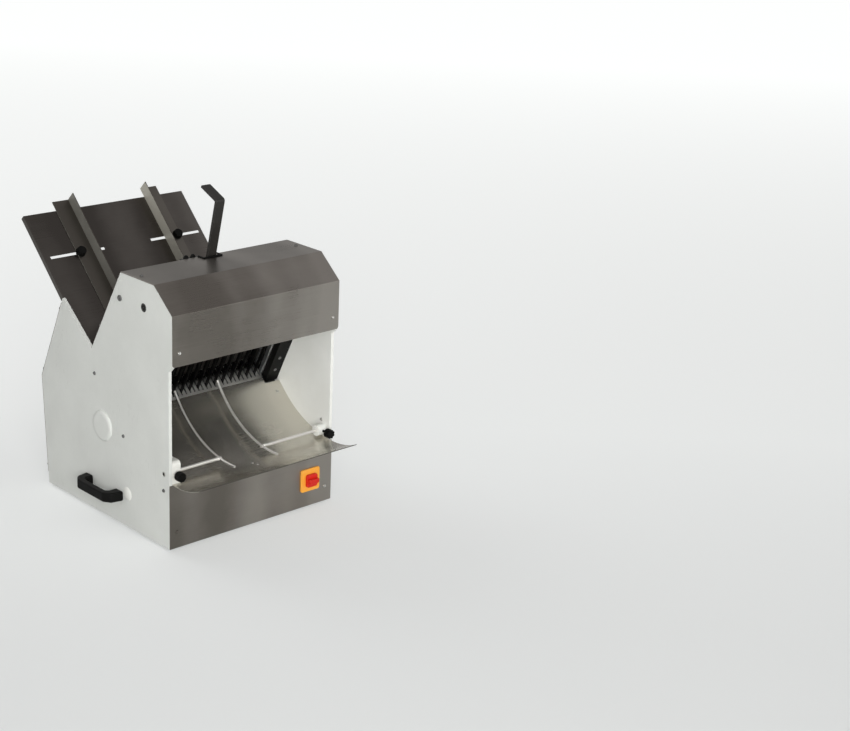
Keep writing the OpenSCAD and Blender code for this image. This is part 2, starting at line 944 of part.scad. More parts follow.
module pan_screws()
    color(bright) {
        both_sides() {
            side_screw(feed_y + feed_bar_s * cos(feed_angle) - feed_bar_w * sin(feed_angle),
                feed_z + feed_bar_s * sin(feed_angle) + feed_bar_w * cos(feed_angle));
            side_screw(chute_bar_y, chute_bar_z);
            side_screw(rod_y, block_screw_z);
            translate([lug_x, 0, cover_screw_z])
                rotate([90, 0, 0])
                    pan_head();
            translate([lug_x, cover_screw_y, body_h])
                pan_head();
            translate([half_w - panel_screw_in, toe_y, panel_screw_z])
                rotate([90, 0, 0])
                    pan_head();
            for (p = [rear_start + rear_screw_in * rear_dir, rear_mid - rear_screw_in * rear_dir])
                translate(concat([outer_w - plate_t / 2], p + sheet_t * left_of(rear_dir)))
                    rotate([atan2(rear_dir[1], rear_dir[0]), 0, 0])
                        pan_head();
            translate(concat([outer_w - plate_t / 2],
                rear_end_low - rear_screw_in * unit(foot_dir) + sheet_t * left_of(unit(foot_dir))))
                rotate([atan2(foot_dir[1], foot_dir[0]), 0, 0])
                    pan_head();
        }
    }

// Crankshaft along X: journals, webs and four pins, two each way
module crankshaft() {
    color(bright) {
        for (yoke = [[rear_yoke_x, 1], [front_yoke_x, -1]])
            both_sides()
                translate([yoke[0], crank_y, crank_z])
                    rotate([blade_tilt, 0, 0]) {
                        pin_l = yoke_t + 2 * yoke_gap;
                        translate([-pin_l / 2, yoke[1] * crank_throw, 0])
                            rotate([0, 90, 0])
                                cylinder(r = pin_r, h = pin_l);
                        for (x = [-pin_l / 2 - web_t, pin_l / 2])
                            translate([x, 0, 0])
                                rotate([0, 90, 0])
                                    cylinder(r = web_r, h = web_t);
                    }
        side_l = yoke_t / 2 + yoke_gap + web_t - cut;
        both_sides() {
            rod(rear_yoke_x + side_l, outer_w + shaft_over, crank_y, crank_z, journal_r);
            rod(front_yoke_x + side_l, rear_yoke_x - side_l, crank_y, crank_z, journal_r);
            rod(0, front_yoke_x - side_l, crank_y, crank_z, journal_r);
        }
    }
}

module grooved_pulley(r, bore, y, z)
    difference() {
        union() {
            rod(belt_x, belt_x + pulley_w, y, z, r);
            rod(belt_x, belt_x + rim_t - seat_gap, y, z, r + rim_h);
            rod(belt_x + pulley_w - rim_t + seat_gap, belt_x + pulley_w, y, z, r + rim_h);
        }
        rod(belt_x - cut, belt_x + pulley_w + cut, y, z, bore);
    }

module crank_pulley()
    color(grey)
        difference() {
            grooved_pulley(pulley_r, journal_r, crank_y, crank_z);
            for (i = [0:pulley_holes - 1])
                translate([belt_x - cut, crank_y, crank_z])
                    rotate([i * 360 / pulley_holes, 0, 0])
                        translate([0, (pulley_r + journal_r) / 2, 0])
                            rotate([0, 90, 0])
                                cylinder(r = pulley_hole_r, h = pulley_w + 2 * cut);
        }

module motor_rotor()
    color(bright)
        rod(motor_x - motor_l / 2 + seat_gap, belt_x + pulley_w, motor_y, motor_z, motor_shaft_r);

module motor_pulley()
    color(grey)
        grooved_pulley(motor_pulley_r, motor_shaft_r, motor_y, motor_z);

// Blade frames

// Places of one frame's blades: the frames' blades alternate
function blade_xs(side) =
    side > 0
        ? [for (i = [0:rear_count - 1]) (2 * i - rear_count + 1) * slice_w]
        : [for (i = [0:front_count - 1]) (2 * i - front_count + 1) * slice_w];

// Sawn slots that hold the blades' ends
module blade_slots(side, u0, u1)
    for (x = blade_xs(side))
        box([x - blade_t / 2 - run_gap, side * frame_v - bar_t, u0],
            [x + blade_t / 2 + run_gap, side * frame_v + bar_t, u1]);

module crossbar(side, u0, h)
    translate([-bar_out, side * frame_v - bar_t / 2, u0])
        cube([2 * bar_out, bar_t, h]);

// Slotted yoke plate with a neck up to its crossbar
module yoke(side) {
    inner_v = side * (frame_v - bar_t / 2);
    outer_v = side * (frame_v + bar_t / 2);
    difference() {
        union() {
            box([-yoke_t / 2, -yoke_half_v, yoke_low], [yoke_t / 2, yoke_half_v, yoke_top]);
            box([-yoke_t / 2, min(inner_v, outer_v), yoke_low],
                [yoke_t / 2, max(inner_v, outer_v), low_bar_u + cut]);
        }
        box([-yoke_t, -yoke_slot_v, -yoke_slot_h], [yoke_t, yoke_slot_v, yoke_slot_h]);
        for (end = [-1, 1])
            translate([-yoke_t, end * yoke_slot_v, 0])
                rotate([0, 90, 0])
                    cylinder(r = yoke_slot_h, h = 2 * yoke_t);
    }
}

module yoke_bar(side, yoke_x)
    on_blades()
        difference() {
            union() {
                crossbar(side, low_bar_u, bar_h);
                for (x = [-yoke_x, yoke_x])
                    translate([x, 0, 0])
                        yoke(side);
            }
            blade_slots(side, low_bar_u + bar_h / 2, low_bar_u + bar_h + cut);
        }

module top_bar(side)
    on_blades()
        difference() {
            crossbar(side, top_bar_u, top_bar_h);
            blade_slots(side, top_bar_u - cut, top_bar_u + top_bar_h / 2);
        }

module side_bars(side)
    on_blades()
        both_sides()
            box([bar_in, side * frame_v - bar_t / 2, low_bar_u + bar_h],
                [bar_out, side * frame_v + bar_t / 2, top_bar_u]);

// A blade's cutting edge faces the loaf and is cut into pointed teeth
module blade_outline(u0, u1) {
    teeth = floor((u1 - u0) / tooth_pitch) - 4;
    first = (u0 + u1 - teeth * tooth_pitch) / 2;
    edge = blade_w / 2;
    polygon(concat(
        [[-edge, u0], [edge - tooth_depth, u0]],
        [for (i = [0:teeth - 1], k = [0, 0.5])
            [edge - tooth_depth * (1 - 2 * k), first + (i + k) * tooth_pitch]],
        [[edge - tooth_depth, first + teeth * tooth_pitch], [edge - tooth_depth, u1], [-edge, u1]]
    ));
}

module blades(side)
    on_blades()
        for (x = blade_xs(side))
            translate([0, side * frame_v, 0])
                across(x - blade_t / 2, x + blade_t / 2)
                    blade_outline(low_bar_u + bar_h / 2, top_bar_u + top_bar_h / 2);

module rear_yoke_bar()
    color(grey)
        yoke_bar(1, rear_yoke_x);

module rear_top_bar()
    color(grey)
        top_bar(1);

module rear_side_bars()
    color(grey)
        side_bars(1);

module rear_blades()
    color(bright)
        blades(1);

module front_yoke_bar()
    color(grey)
        yoke_bar(-1, front_yoke_x);

module front_top_bar()
    color(grey)
        top_bar(-1);

module front_side_bars()
    color(grey)
        side_bars(-1);

module front_blades()
    color(bright)
        blades(-1);

// Loaf pusher

module pusher_shaft()
    color(bright)
        difference() {
            rod(-half_w + seat_gap, half_w - seat_gap, pivot_y, pivot_z, pivot_r);
            both_sides()
                rod(half_w - pivot_pin_in - seat_gap, half_w + cut, pivot_y, pivot_z, pivot_pin_r);
        }

// Collar on the pusher shaft
module collar(x0, x1)
    rod(x0, x1, pivot_y, pivot_z, collar_r);

module shaft_hole()
    rod(-half_w, half_w, pivot_y, pivot_z, pivot_r);

module push_lever() {
    lean = [-sin(lever_lean), cos(lever_lean)];
    pivot = [pivot_y, pivot_z];
    elbow = pivot + lever_l * lean;
    tip = elbow + lever_tip * [cos(tip_rise), sin(tip_rise)];
    color(black)
        difference() {
            union() {
                across(-lever_w / 2, lever_w / 2)
                    folded([pivot, elbow, tip], lever_t);
                collar(-lever_w / 2, lever_w / 2);
            }
            shaft_hole();
        }
}

// Local axes of the pusher arms: y along the arms
module on_arms()
    translate([0, pivot_y, pivot_z])
        rotate([-pusher_droop, 0, 0])
            children();

module pusher_arms()
    color(grey)
        difference() {
            union()
                both_sides() {
                    on_arms()
                        box([arm_x - arm_w / 2, (pivot_r + collar_r) / 2, -arm_t],
                            [arm_x + arm_w / 2, pusher_reach - arm_in, 0]);
                    collar(arm_x - arm_w / 2, arm_x + arm_w / 2);
                }
            shaft_hole();
        }

module pusher_plate()
    color(black)
        on_arms()
            difference() {
                box([-pusher_w / 2, pusher_reach - pad_h, -arm_t - pad_t],
                    [pusher_w / 2, pusher_reach, -arm_t]);
                for (x = [-pusher_w / 2 + slice_w:2 * slice_w:pusher_w / 2 - slice_w])
                    box([x - pad_slot_w / 2, pusher_reach - pad_h / 2, -arm_t - pad_t - cut],
                        [x + pad_slot_w / 2, pusher_reach + cut, cut - arm_t]);
            }

// Guides and knobs

// L-shaped guide on the feed plate, with its flat flange on the given side of the fold
module feed_guide(fold, side)
    on_feed()
        difference() {
            union() {
                box([min(fold, fold + side * flange_w), guide_low, seat_gap],
                    [max(fold, fold + side * flange_w), feed_top + guide_over, seat_gap + guide_t]);
                box([min(fold, fold + side * guide_t), guide_low, seat_gap],
                    [max(fold, fold + side * guide_t), feed_top + guide_over, upright_h]);
            }
            translate([fold + side * knob_off, slot_s, -cut])
                cylinder(r = stud_r + run_gap, h = guide_t + 2 * cut);
        }

module left_feed_guide()
    color(steel)
        feed_guide(left_fold, -1);

module right_feed_guide()
    color(steel)
        feed_guide(right_fold, 1);

// Knob with a stud through the guide and the slot, and a washer under the plate
module guide_knob(fold, side)
    on_feed()
        translate([fold + side * knob_off, slot_s, 0]) {
            difference() {
                translate([0, 0, 2 * seat_gap + guide_t])
                    cylinder(r1 = knob_r, r2 = knob_r - knob_taper, h = knob_h);
                for (i = [0:knob_grips - 1])
                    rotate(i * 360 / knob_grips)
                        translate([grip_out, 0, guide_t + knob_skirt])
                            cylinder(r = grip_r, h = knob_h);
            }
            translate([0, 0, -feed_t - seat_gap - washer_t])
                cylinder(r = stud_r, h = feed_t + washer_t + guide_t + knob_skirt);
            translate([0, 0, -feed_t - seat_gap - washer_t])
                cylinder(r = washer_r, h = washer_t);
        }

module left_guide_knob()
    color(black)
        guide_knob(left_fold, -1);

module right_guide_knob()
    color(black)
        guide_knob(right_fold, 1);

// Bent wire over the chute with its rod to the plate
module wire_guide(x, side) {
    end = x - side * (wire_r + cut);
    x0 = side < 0 ? -outer_w : end;
    x1 = side < 0 ? end : outer_w;
    translate([x, chute_c[0], chute_c[1]])
        rotate([90, 0, 90])
            rotate(-wire_front - 90)
                rotate_extrude(angle = wire_front + feed_angle + wire_top, $fn = 180)
                    translate([chute_r - wire_lift, 0])
                        circle(wire_r, $fn = 24);
    rod(x0, x1, rod_y, rod_z, rod_r);
}

module left_wire_guide()
    color(bright)
        wire_guide(left_wire_x, -1);

module right_wire_guide()
    color(bright)
        wire_guide(right_wire_x, 1);

module clamp_knob()
    translate([half_w - block_w / 2, 0, rod_z])
        rotate([-90, 0, 0]) {
            translate([0, 0, clamp_front])
                difference() {
                    cylinder(r = clamp_r, h = clamp_l);
                    for (i = [0:clamp_grips - 1])
                        rotate(i * 360 / clamp_grips)
                            translate([clamp_grip_out, 0, -cut])
                                cylinder(r = clamp_grip_r, h = clamp_l - clamp_skirt + cut);
                }
            translate([0, 0, clamp_front + clamp_l - cut])
                cylinder(r = stud_r, h = clamp_tip - clamp_front - clamp_l + cut);
        }

module left_clamp_knob()
    color(black)
        mirror([1, 0, 0])
            clamp_knob();

module right_clamp_knob()
    color(black)
        clamp_knob();

module placed()
    translate([0, -mid_y, foot_h])
        children();

placed() left_side_plate();
placed() right_side_plate();
placed() base_plate();
placed() front_panel();
placed() top_cover();
placed() rear_cover();
placed() feed_plate();
placed() outfeed_chute();
placed() blade_comb();
placed() left_guide_channel();
placed() right_guide_channel();
placed() upper_tie_bar();
placed() feed_support_bar();
placed() chute_support_bar();
placed() left_handle();
placed() right_handle();
placed() left_bearing();
placed() right_bearing();
placed() left_bearing_cap();
placed() right_bearing_cap();
placed() left_rod_block();
placed() right_rod_block();
placed() round_plug();
placed() switch_plate();
placed() switch_body();
placed() switch_knob();
placed() motor_housing();
placed() motor_mount();
placed() drive_belt();
placed() cable_gland();
placed() rubber_feet();
placed() cover_lugs();
placed() pivot_pins();
placed() pan_screws();
placed() crankshaft();
placed() crank_pulley();
placed() motor_rotor();
placed() motor_pulley();
placed() rear_yoke_bar();
placed() rear_top_bar();
placed() rear_side_bars();
placed() rear_blades();
placed() front_yoke_bar();
placed() front_top_bar();
placed() front_side_bars();
placed() front_blades();
placed() pusher_shaft();
placed() push_lever();
placed() pusher_arms();
placed() pusher_plate();
placed() left_feed_guide();
placed() right_feed_guide();
placed() left_guide_knob();
placed() right_guide_knob();
placed() left_wire_guide();
placed() right_wire_guide();
placed() left_clamp_knob();
placed() right_clamp_knob();
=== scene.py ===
# %% [markdown]
# # A counter-top bread slicer
# This lesson dresses a finished CAD model. The frame brings every piece of the machine, in
# metres and in its place, so those need no fitting. What is left for Blender is the way that the
# machine looks: rolled sheet edges, brushed steel, powder coat, moulded knobs and soft light. The
# few small pieces that are added here were placed by comparing renders with the photo.

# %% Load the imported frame
import json
import math

import bmesh
import bpy
from mathutils import Matrix, Vector


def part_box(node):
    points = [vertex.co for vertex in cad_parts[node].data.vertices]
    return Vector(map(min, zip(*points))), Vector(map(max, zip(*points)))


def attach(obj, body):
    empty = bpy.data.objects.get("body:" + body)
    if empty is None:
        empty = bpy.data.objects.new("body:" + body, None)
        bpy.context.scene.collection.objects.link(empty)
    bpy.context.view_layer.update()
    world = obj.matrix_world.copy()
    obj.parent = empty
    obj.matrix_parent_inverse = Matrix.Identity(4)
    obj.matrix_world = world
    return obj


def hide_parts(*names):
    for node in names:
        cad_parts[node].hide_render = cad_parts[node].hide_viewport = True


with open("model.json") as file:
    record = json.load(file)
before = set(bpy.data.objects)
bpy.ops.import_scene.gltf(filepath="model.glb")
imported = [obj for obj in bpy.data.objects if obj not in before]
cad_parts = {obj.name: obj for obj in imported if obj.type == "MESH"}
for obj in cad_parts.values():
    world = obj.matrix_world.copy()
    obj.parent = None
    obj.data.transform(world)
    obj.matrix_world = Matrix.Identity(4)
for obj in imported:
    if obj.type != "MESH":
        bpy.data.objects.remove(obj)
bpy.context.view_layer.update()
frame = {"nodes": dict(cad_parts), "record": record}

nodes = frame["nodes"]
body_of = {n: b for b, members in frame["record"]["behaviour"]["bodies"].items() for n in members}
slot_of = {s["node"]: s["material_slot"] for s in frame["record"]["subparts"]}

# %% [markdown]
# ## Camera
# The photographer stood to the left of the machine's front and a little above it, with a long
# lens. A long lens keeps upright edges nearly parallel. The camera is built from its own three
# axes (right, up and backwards), because that places it without any constraint or target.

# %% Camera
CAMERA_AT = Vector((-2.35842, -3.21084, 1.70606))
CAMERA_YAW = math.radians(44.3486)
CAMERA_PITCH = math.radians(-19.0101)
CAMERA_ROLL = math.radians(2.4967)
IMAGE_WIDTH = 850
FOCAL_PIXELS = 1776.12
SENSOR = 36.0

forward = Vector((
    math.sin(CAMERA_YAW) * math.cos(CAMERA_PITCH),
    math.cos(CAMERA_YAW) * math.cos(CAMERA_PITCH),
    math.sin(CAMERA_PITCH),
))
level_right = forward.cross(Vector((0, 0, 1))).normalized()
level_up = level_right.cross(forward)
right = level_right * math.cos(CAMERA_ROLL) + level_up * math.sin(CAMERA_ROLL)
up = level_up * math.cos(CAMERA_ROLL) - level_right * math.sin(CAMERA_ROLL)

lens = bpy.data.cameras.new("camera")
lens.sensor_fit = "HORIZONTAL"
lens.sensor_width = SENSOR
lens.lens = FOCAL_PIXELS * SENSOR / IMAGE_WIDTH
camera = bpy.data.objects.new("camera", lens)
camera.matrix_world = Matrix.Translation(CAMERA_AT) @ Matrix((right, up, -forward)).transposed().to_4x4()
bpy.context.scene.collection.objects.link(camera)
bpy.context.scene.camera = camera
bpy.context.scene.view_settings.view_transform = "Standard"
print("lens:", round(lens.lens, 1), "mm")

# %% [markdown]
# ## Shader trees
# A material is a tree of nodes. Most of these helpers add one node and hand back its output, so
# a finish can be written like a formula. Colours are given as screen values and turned into the
# linear values that shaders work with.


# %% Small helpers for shader trees
def srgb(red, green, blue):
    """A colour from its 0 to 255 screen values, in the linear values that shaders use."""
    def linear(value):
        value /= 255
        return value / 12.92 if value <= 0.04045 else ((value + 0.055) / 1.055) ** 2.4
    return (linear(red), linear(green), linear(blue), 1.0)


def new_material(name):
    """A fresh material with its tree and its Principled shader."""
    material = bpy.data.materials.new(name)
    material.use_nodes = True
    tree = material.node_tree
    return material, tree, tree.nodes["Principled BSDF"]


def math_node(tree, operation, first, second):
    """A Math node on two values, each a socket or a number."""
    node = tree.nodes.new("ShaderNodeMath")
    node.operation = operation
    for socket, value in zip(node.inputs, (first, second)):
        if isinstance(value, (int, float)):
            socket.default_value = value
        else:
            tree.links.new(value, socket)
    return node.outputs[0]


def map_range(tree, value, low, high, to_low, to_high):
    """A value stretched from one range to another, and held inside it."""
    node = tree.nodes.new("ShaderNodeMapRange")
    node.clamp = True
    for socket, number in zip(node.inputs[1:5], (low, high, to_low, to_high)):
        socket.default_value = number
    tree.links.new(value, node.inputs[0])
    return node.outputs[0]


def mix_colour(tree, factor, first, second):
    """Two colours mixed by a factor; each colour is a socket or a fixed colour."""
    node = tree.nodes.new("ShaderNodeMix")
    node.data_type = "RGBA"
    tree.links.new(factor, node.inputs["Factor"])
    for socket, value in zip((node.inputs[6], node.inputs[7]), (first, second)):
        if isinstance(value, (tuple, list)):
            socket.default_value = value
        else:
            tree.links.new(value, socket)
    return node.outputs[2]


print("middle grey in linear light:", round(srgb(128, 128, 128)[0], 3))

# %% [markdown]
# ## Floor
# The machine stands on a pale studio floor that grows lighter with distance. A faint glow, seen
# by the camera and dimly in the steel, lifts the floor to the pale tone of a product picture. It
# lights nothing, so the soft shadow stays. The glow follows the floor's own coordinates, along
# the way the camera looks, so it stays on the floor when another camera is used.

# %% Floor
FLOOR_COLOUR = srgb(190, 192, 191)
GLOW_NEAR, GLOW_MID, GLOW_FAR = 0.21, 0.47, 0.82
FADE_NEAR, FADE_MID, FADE_FAR = -1.2, 0.5, 6.5
GLOW_COLOUR = srgb(250, 252, 251)
GLOW_IN_STEEL = 0.35
FLOOR_ROUGHNESS, FLOOR_SPECULAR = 0.9, 0.2
FLOOR_HALF = 16.0

shape = bmesh.new()
bmesh.ops.create_grid(shape, x_segments=1, y_segments=1, size=FLOOR_HALF)
floor_mesh = bpy.data.meshes.new("floor")
shape.to_mesh(floor_mesh)
shape.free()
floor = bpy.data.objects.new("floor", floor_mesh)
bpy.context.scene.collection.objects.link(floor)

floor_paint, tree, shader = new_material("studio_floor")
place = tree.nodes.new("ShaderNodeTexCoord").outputs["Object"]
along = tree.nodes.new("ShaderNodeVectorMath")
along.operation = "DOT_PRODUCT"
along.inputs[1].default_value = Vector((forward.x, forward.y, 0)).normalized()
tree.links.new(place, along.inputs[0])
glow = math_node(
    tree, "ADD",
    map_range(tree, along.outputs["Value"], FADE_NEAR, FADE_MID, GLOW_NEAR, GLOW_MID),
    map_range(tree, along.outputs["Value"], FADE_MID, FADE_FAR, 0, GLOW_FAR - GLOW_MID),
)
rays = tree.nodes.new("ShaderNodeLightPath")
seen = math_node(tree, "MAXIMUM", rays.outputs["Is Camera Ray"],
                 math_node(tree, "MULTIPLY", rays.outputs["Is Glossy Ray"], GLOW_IN_STEEL))
shader.inputs["Base Color"].default_value = FLOOR_COLOUR
shader.inputs["Roughness"].default_value = FLOOR_ROUGHNESS
shader.inputs["Specular IOR Level"].default_value = FLOOR_SPECULAR
shader.inputs["Emission Color"].default_value = GLOW_COLOUR
tree.links.new(math_node(tree, "MULTIPLY", glow, seen), shader.inputs["Emission Strength"])
floor.data.materials.append(floor_paint)
print("floor:", 2 * FLOOR_HALF, "m across")

# %% [markdown]
# ## Light
# Four large lamps give even light. The world is darker overhead and behind the machine, and it
# has soft bands side by side, because brushed steel only looks like steel when it has light and
# dark to reflect.

# %% World and lamps
WORLD_LOW = (0.90, 0.90, 0.90, 1.0)
WORLD_HIGH = (0.58, 0.56, 0.56, 1.0)
WORLD_STRENGTH = 0.7
RISE = (0.05, 0.8)
BACKWARDS, BEHIND = (-0.2, 0.6), 0.78
BAND_SCALE, BAND_NOISE = 3.2, (0.38, 0.62)
BAND_LOW, BAND_HIGH = 0.65, 1.15
# Each lamp has its place, its width in metres and its power in watts.
LAMPS = {
    "key_lamp": ((-3.4, -1.6, 2.8), 2.4, 14),
    "mouth_lamp": ((-2.0, -3.1, 1.1), 1.8, 96),
    "front_lamp": ((1.4, -3.6, 1.6), 2.0, 14),
    "back_lamp": ((-0.8, 3.2, 3.4), 2.4, 40),
}
AIM = Vector((0, 0, 0.35))

world = bpy.data.worlds.new("studio")
bpy.context.scene.world = world
world.use_nodes = True
tree = world.node_tree
sky = tree.nodes["Background"]
sky.inputs["Strength"].default_value = WORLD_STRENGTH
look = tree.nodes.new("ShaderNodeTexCoord").outputs["Generated"]
direction = tree.nodes.new("ShaderNodeSeparateXYZ")
tree.links.new(look, direction.inputs[0])
level = tree.nodes.new("ShaderNodeVectorMath")
level.operation = "MULTIPLY"
level.inputs[1].default_value = (1, 1, 0)
tree.links.new(look, level.inputs[0])
bands = tree.nodes.new("ShaderNodeTexNoise")
bands.inputs["Scale"].default_value = BAND_SCALE
bands.inputs["Detail"].default_value = 1.0
tree.links.new(level.outputs[0], bands.inputs["Vector"])
shade = mix_colour(tree, map_range(tree, direction.outputs["Z"], *RISE, 0, 1), WORLD_LOW, WORLD_HIGH)
banded = tree.nodes.new("ShaderNodeVectorMath")
banded.operation = "SCALE"
tree.links.new(shade, banded.inputs[0])
dim = math_node(tree, "MULTIPLY", map_range(tree, bands.outputs[0], *BAND_NOISE, BAND_LOW, BAND_HIGH),
                map_range(tree, direction.outputs["Y"], *BACKWARDS, 1, BEHIND))
tree.links.new(dim, banded.inputs["Scale"])
tree.links.new(banded.outputs[0], sky.inputs["Color"])
for name, (spot, size, power) in LAMPS.items():
    lamp = bpy.data.lights.new(name, "AREA")
    lamp.shape = "DISK"
    lamp.size = size
    lamp.energy = power
    lamp_object = bpy.data.objects.new(name, lamp)
    lamp_object.location = spot
    lamp_object.rotation_euler = (AIM - Vector(spot)).to_track_quat("-Z", "Y").to_euler()
    bpy.context.scene.collection.objects.link(lamp_object)
print("lamps:", len(LAMPS))

# %% [markdown]
# ## Finishes that many materials share
# Brush lines, smudges, the peel of powder coat, scuffs and rubbed edges turn up on many pieces.
# Each is a shader node group, built once with named inputs and outputs, so a material only says
# how fine or how strong its own version is.


# %% Node groups
def new_group(name, inputs, output):
    """A shader group with its input and output nodes; the inputs are (name, type, value)."""
    group = bpy.data.node_groups.new(name, "ShaderNodeTree")
    for title, kind, value in inputs:
        socket = group.interface.new_socket(title, in_out="INPUT", socket_type=kind)
        if value is not None:
            socket.default_value = value
    group.interface.new_socket(output, in_out="OUTPUT", socket_type="NodeSocketFloat")
    return group, group.nodes.new("NodeGroupInput"), group.nodes.new("NodeGroupOutput")


def noise_node(tree, vector, scale, detail, roughness=0.5):
    """A Noise Texture's value at a vector; the scale is a socket or a number."""
    node = tree.nodes.new("ShaderNodeTexNoise")
    tree.links.new(vector, node.inputs["Vector"])
    if isinstance(scale, (int, float)):
        node.inputs["Scale"].default_value = scale
    else:
        tree.links.new(scale, node.inputs["Scale"])
    node.inputs["Detail"].default_value = detail
    node.inputs["Roughness"].default_value = roughness
    return node.outputs[0]


def stretched(tree, vector, stretch):
    """A vector multiplied axis by axis, by a socket or by fixed numbers."""
    node = tree.nodes.new("ShaderNodeVectorMath")
    node.operation = "MULTIPLY"
    tree.links.new(vector, node.inputs[0])
    if isinstance(stretch, tuple):
        node.inputs[1].default_value = stretch
    else:
        tree.links.new(stretch, node.inputs[1])
    return node.outputs[0]


ROLLED_LINES = (8, 900, 900)

brush_lines, given, result = new_group(
    "brush_lines",
    [("Vector", "NodeSocketVector", None), ("Stretch", "NodeSocketVector", ROLLED_LINES)], "Lines")
pulled = stretched(brush_lines, given.outputs["Vector"], given.outputs["Stretch"])
brush_lines.links.new(noise_node(brush_lines, pulled, 1.0, 4, 0.65), result.inputs["Lines"])

smudges, given, result = new_group(
    "smudges", [("Vector", "NodeSocketVector", None), ("Scale", "NodeSocketFloat", 7.0)], "Mask")
cloud = noise_node(smudges, given.outputs["Vector"], given.outputs["Scale"], 4, 0.6)
smudges.links.new(map_range(smudges, cloud, 0.36, 0.66, 0, 1), result.inputs["Mask"])

coat_peel, given, result = new_group(
    "coat_peel", [("Vector", "NodeSocketVector", None), ("Scale", "NodeSocketFloat", 650.0)], "Height")
coat_peel.links.new(
    noise_node(coat_peel, given.outputs["Vector"], given.outputs["Scale"], 2), result.inputs["Height"])

scuffs, given, result = new_group(
    "scuffs", [("Vector", "NodeSocketVector", None), ("Stretch", "NodeSocketVector", (60, 60, 5))], "Mask")
pulled = stretched(scuffs, given.outputs["Vector"], given.outputs["Stretch"])
wave = math_node(scuffs, "SUBTRACT", noise_node(scuffs, pulled, 1.0, 2), 0.5)
ridge = math_node(scuffs, "ABSOLUTE", wave, 0)
patch = map_range(scuffs, noise_node(scuffs, given.outputs["Vector"], 9.0, 2), 0.5, 0.68, 0, 1)
thin = map_range(scuffs, ridge, 0.002, 0.008, 1, 0)
scuffs.links.new(math_node(scuffs, "MULTIPLY", thin, patch), result.inputs["Mask"])

rubbed_edges, given, result = new_group(
    "rubbed_edges", [("Vector", "NodeSocketVector", None), ("Radius", "NodeSocketFloat", 0.002)], "Mask")
soft = rubbed_edges.nodes.new("ShaderNodeBevel")
soft.samples = 6
rubbed_edges.links.new(given.outputs["Radius"], soft.inputs["Radius"])
turn = rubbed_edges.nodes.new("ShaderNodeVectorMath")
turn.operation = "DOT_PRODUCT"
rubbed_edges.links.new(soft.outputs[0], turn.inputs[0])
rubbed_edges.links.new(rubbed_edges.nodes.new("ShaderNodeNewGeometry").outputs["Normal"], turn.inputs[1])
rim = map_range(rubbed_edges, turn.outputs["Value"], 0.8, 0.98, 1, 0)
worn = map_range(rubbed_edges, noise_node(rubbed_edges, given.outputs["Vector"], 90.0, 4), 0.42, 0.6, 0, 1)
rubbed_edges.links.new(math_node(rubbed_edges, "MULTIPLY", rim, worn), result.inputs["Mask"])
print("shared finishes:", [g.name for g in bpy.data.node_groups])

# %% [markdown]
# ## Steel
# The covers, panels, feed plate and chute are one kind of stainless sheet. Rolling and brushing
# leave fine lines along its length, so the lines run along X. They vary the colour a little,
# make the shine uneven, and stand up by about a hundredth of a millimetre. Hands leave smudges,
# which dull it in patches. The sheets also get soft upright bands, light and dark, painted into their
# colour as reflections.


# %% How steel is made
LINE_TONES, LINE_ROUGHNESS, LINE_HEIGHT = (0.16, 0.54), 0.05, 0.00001
STEEL_SMUDGE_SCALE, STEEL_SMUDGE_TONE = 6.0, 0.3
# The stretch of the soft upright bands of painted reflection.
PAINTED_BAND_STRETCH = (7, 0.8, 0.8)


def use_group(tree, group, vector, **values):
    """One of the shared finishes, placed in a material with its own values."""
    node = tree.nodes.new("ShaderNodeGroup")
    node.node_tree = group
    tree.links.new(vector, node.inputs["Vector"])
    for title, value in values.items():
        node.inputs[title].default_value = value
    return node.outputs[0]


def bump(tree, shader, height, distance, strength=1.0):
    """A bump of the given height in metres, on the shader's normal."""
    node = tree.nodes.new("ShaderNodeBump")
    node.inputs["Strength"].default_value = strength
    node.inputs["Distance"].default_value = distance
    tree.links.new(height, node.inputs["Height"])
    tree.links.new(node.outputs[0], shader.inputs["Normal"])


def steel(name, dark, light, shine, stretch=ROLLED_LINES, dull=0.1, grain=0.0, bands=0.0, metal=1.0):
    """Brushed steel between two tones; shine is its lowest roughness, grain its pull along X."""
    material, tree, shader = new_material(name)
    place = tree.nodes.new("ShaderNodeTexCoord").outputs["Object"]
    lines = use_group(tree, brush_lines, place, Stretch=stretch)
    hands = use_group(tree, smudges, place, Scale=STEEL_SMUDGE_SCALE)
    tone = math_node(tree, "ADD", map_range(tree, lines, 0.0, 1.0, *LINE_TONES),
                     math_node(tree, "MULTIPLY", hands, STEEL_SMUDGE_TONE))
    # The bands are painted reflection: light and dark upright streaks added to the colour.
    if bands:
        upright = noise_node(tree, stretched(tree, place, PAINTED_BAND_STRETCH), 1.0, 1)
        tone = math_node(tree, "ADD", tone, map_range(tree, upright, 0.3, 0.7, -bands, bands))
    tree.links.new(mix_colour(tree, tone, srgb(*dark), srgb(*light)), shader.inputs["Base Color"])
    shader.inputs["Metallic"].default_value = metal
    rough = math_node(tree, "ADD", map_range(tree, lines, 0.3, 0.7, shine, shine + LINE_ROUGHNESS),
                      math_node(tree, "MULTIPLY", hands, dull))
    tree.links.new(rough, shader.inputs["Roughness"])
    bump(tree, shader, lines, LINE_HEIGHT)
    if grain:
        pull = tree.nodes.new("ShaderNodeVectorTransform")
        pull.convert_from, pull.convert_to = "OBJECT", "WORLD"
        pull.inputs[0].default_value = (1, 0, 0)
        tree.links.new(pull.outputs[0], shader.inputs["Tangent"])
        shader.inputs["Anisotropic"].default_value = grain
    return material


def sheet(name, dark, light, shine, metal=1.0):
    """Stainless sheet with its grain along X and soft upright bands of painted reflection."""
    return steel(name, dark, light, shine, dull=0.06, grain=0.5, bands=0.75, metal=metal)


bright_steel = steel("bright_steel", (196, 195, 190), (224, 223, 219), 0.22, (700, 700, 700), 0.06)
print("nodes in one steel:", len(bright_steel.node_tree.nodes))
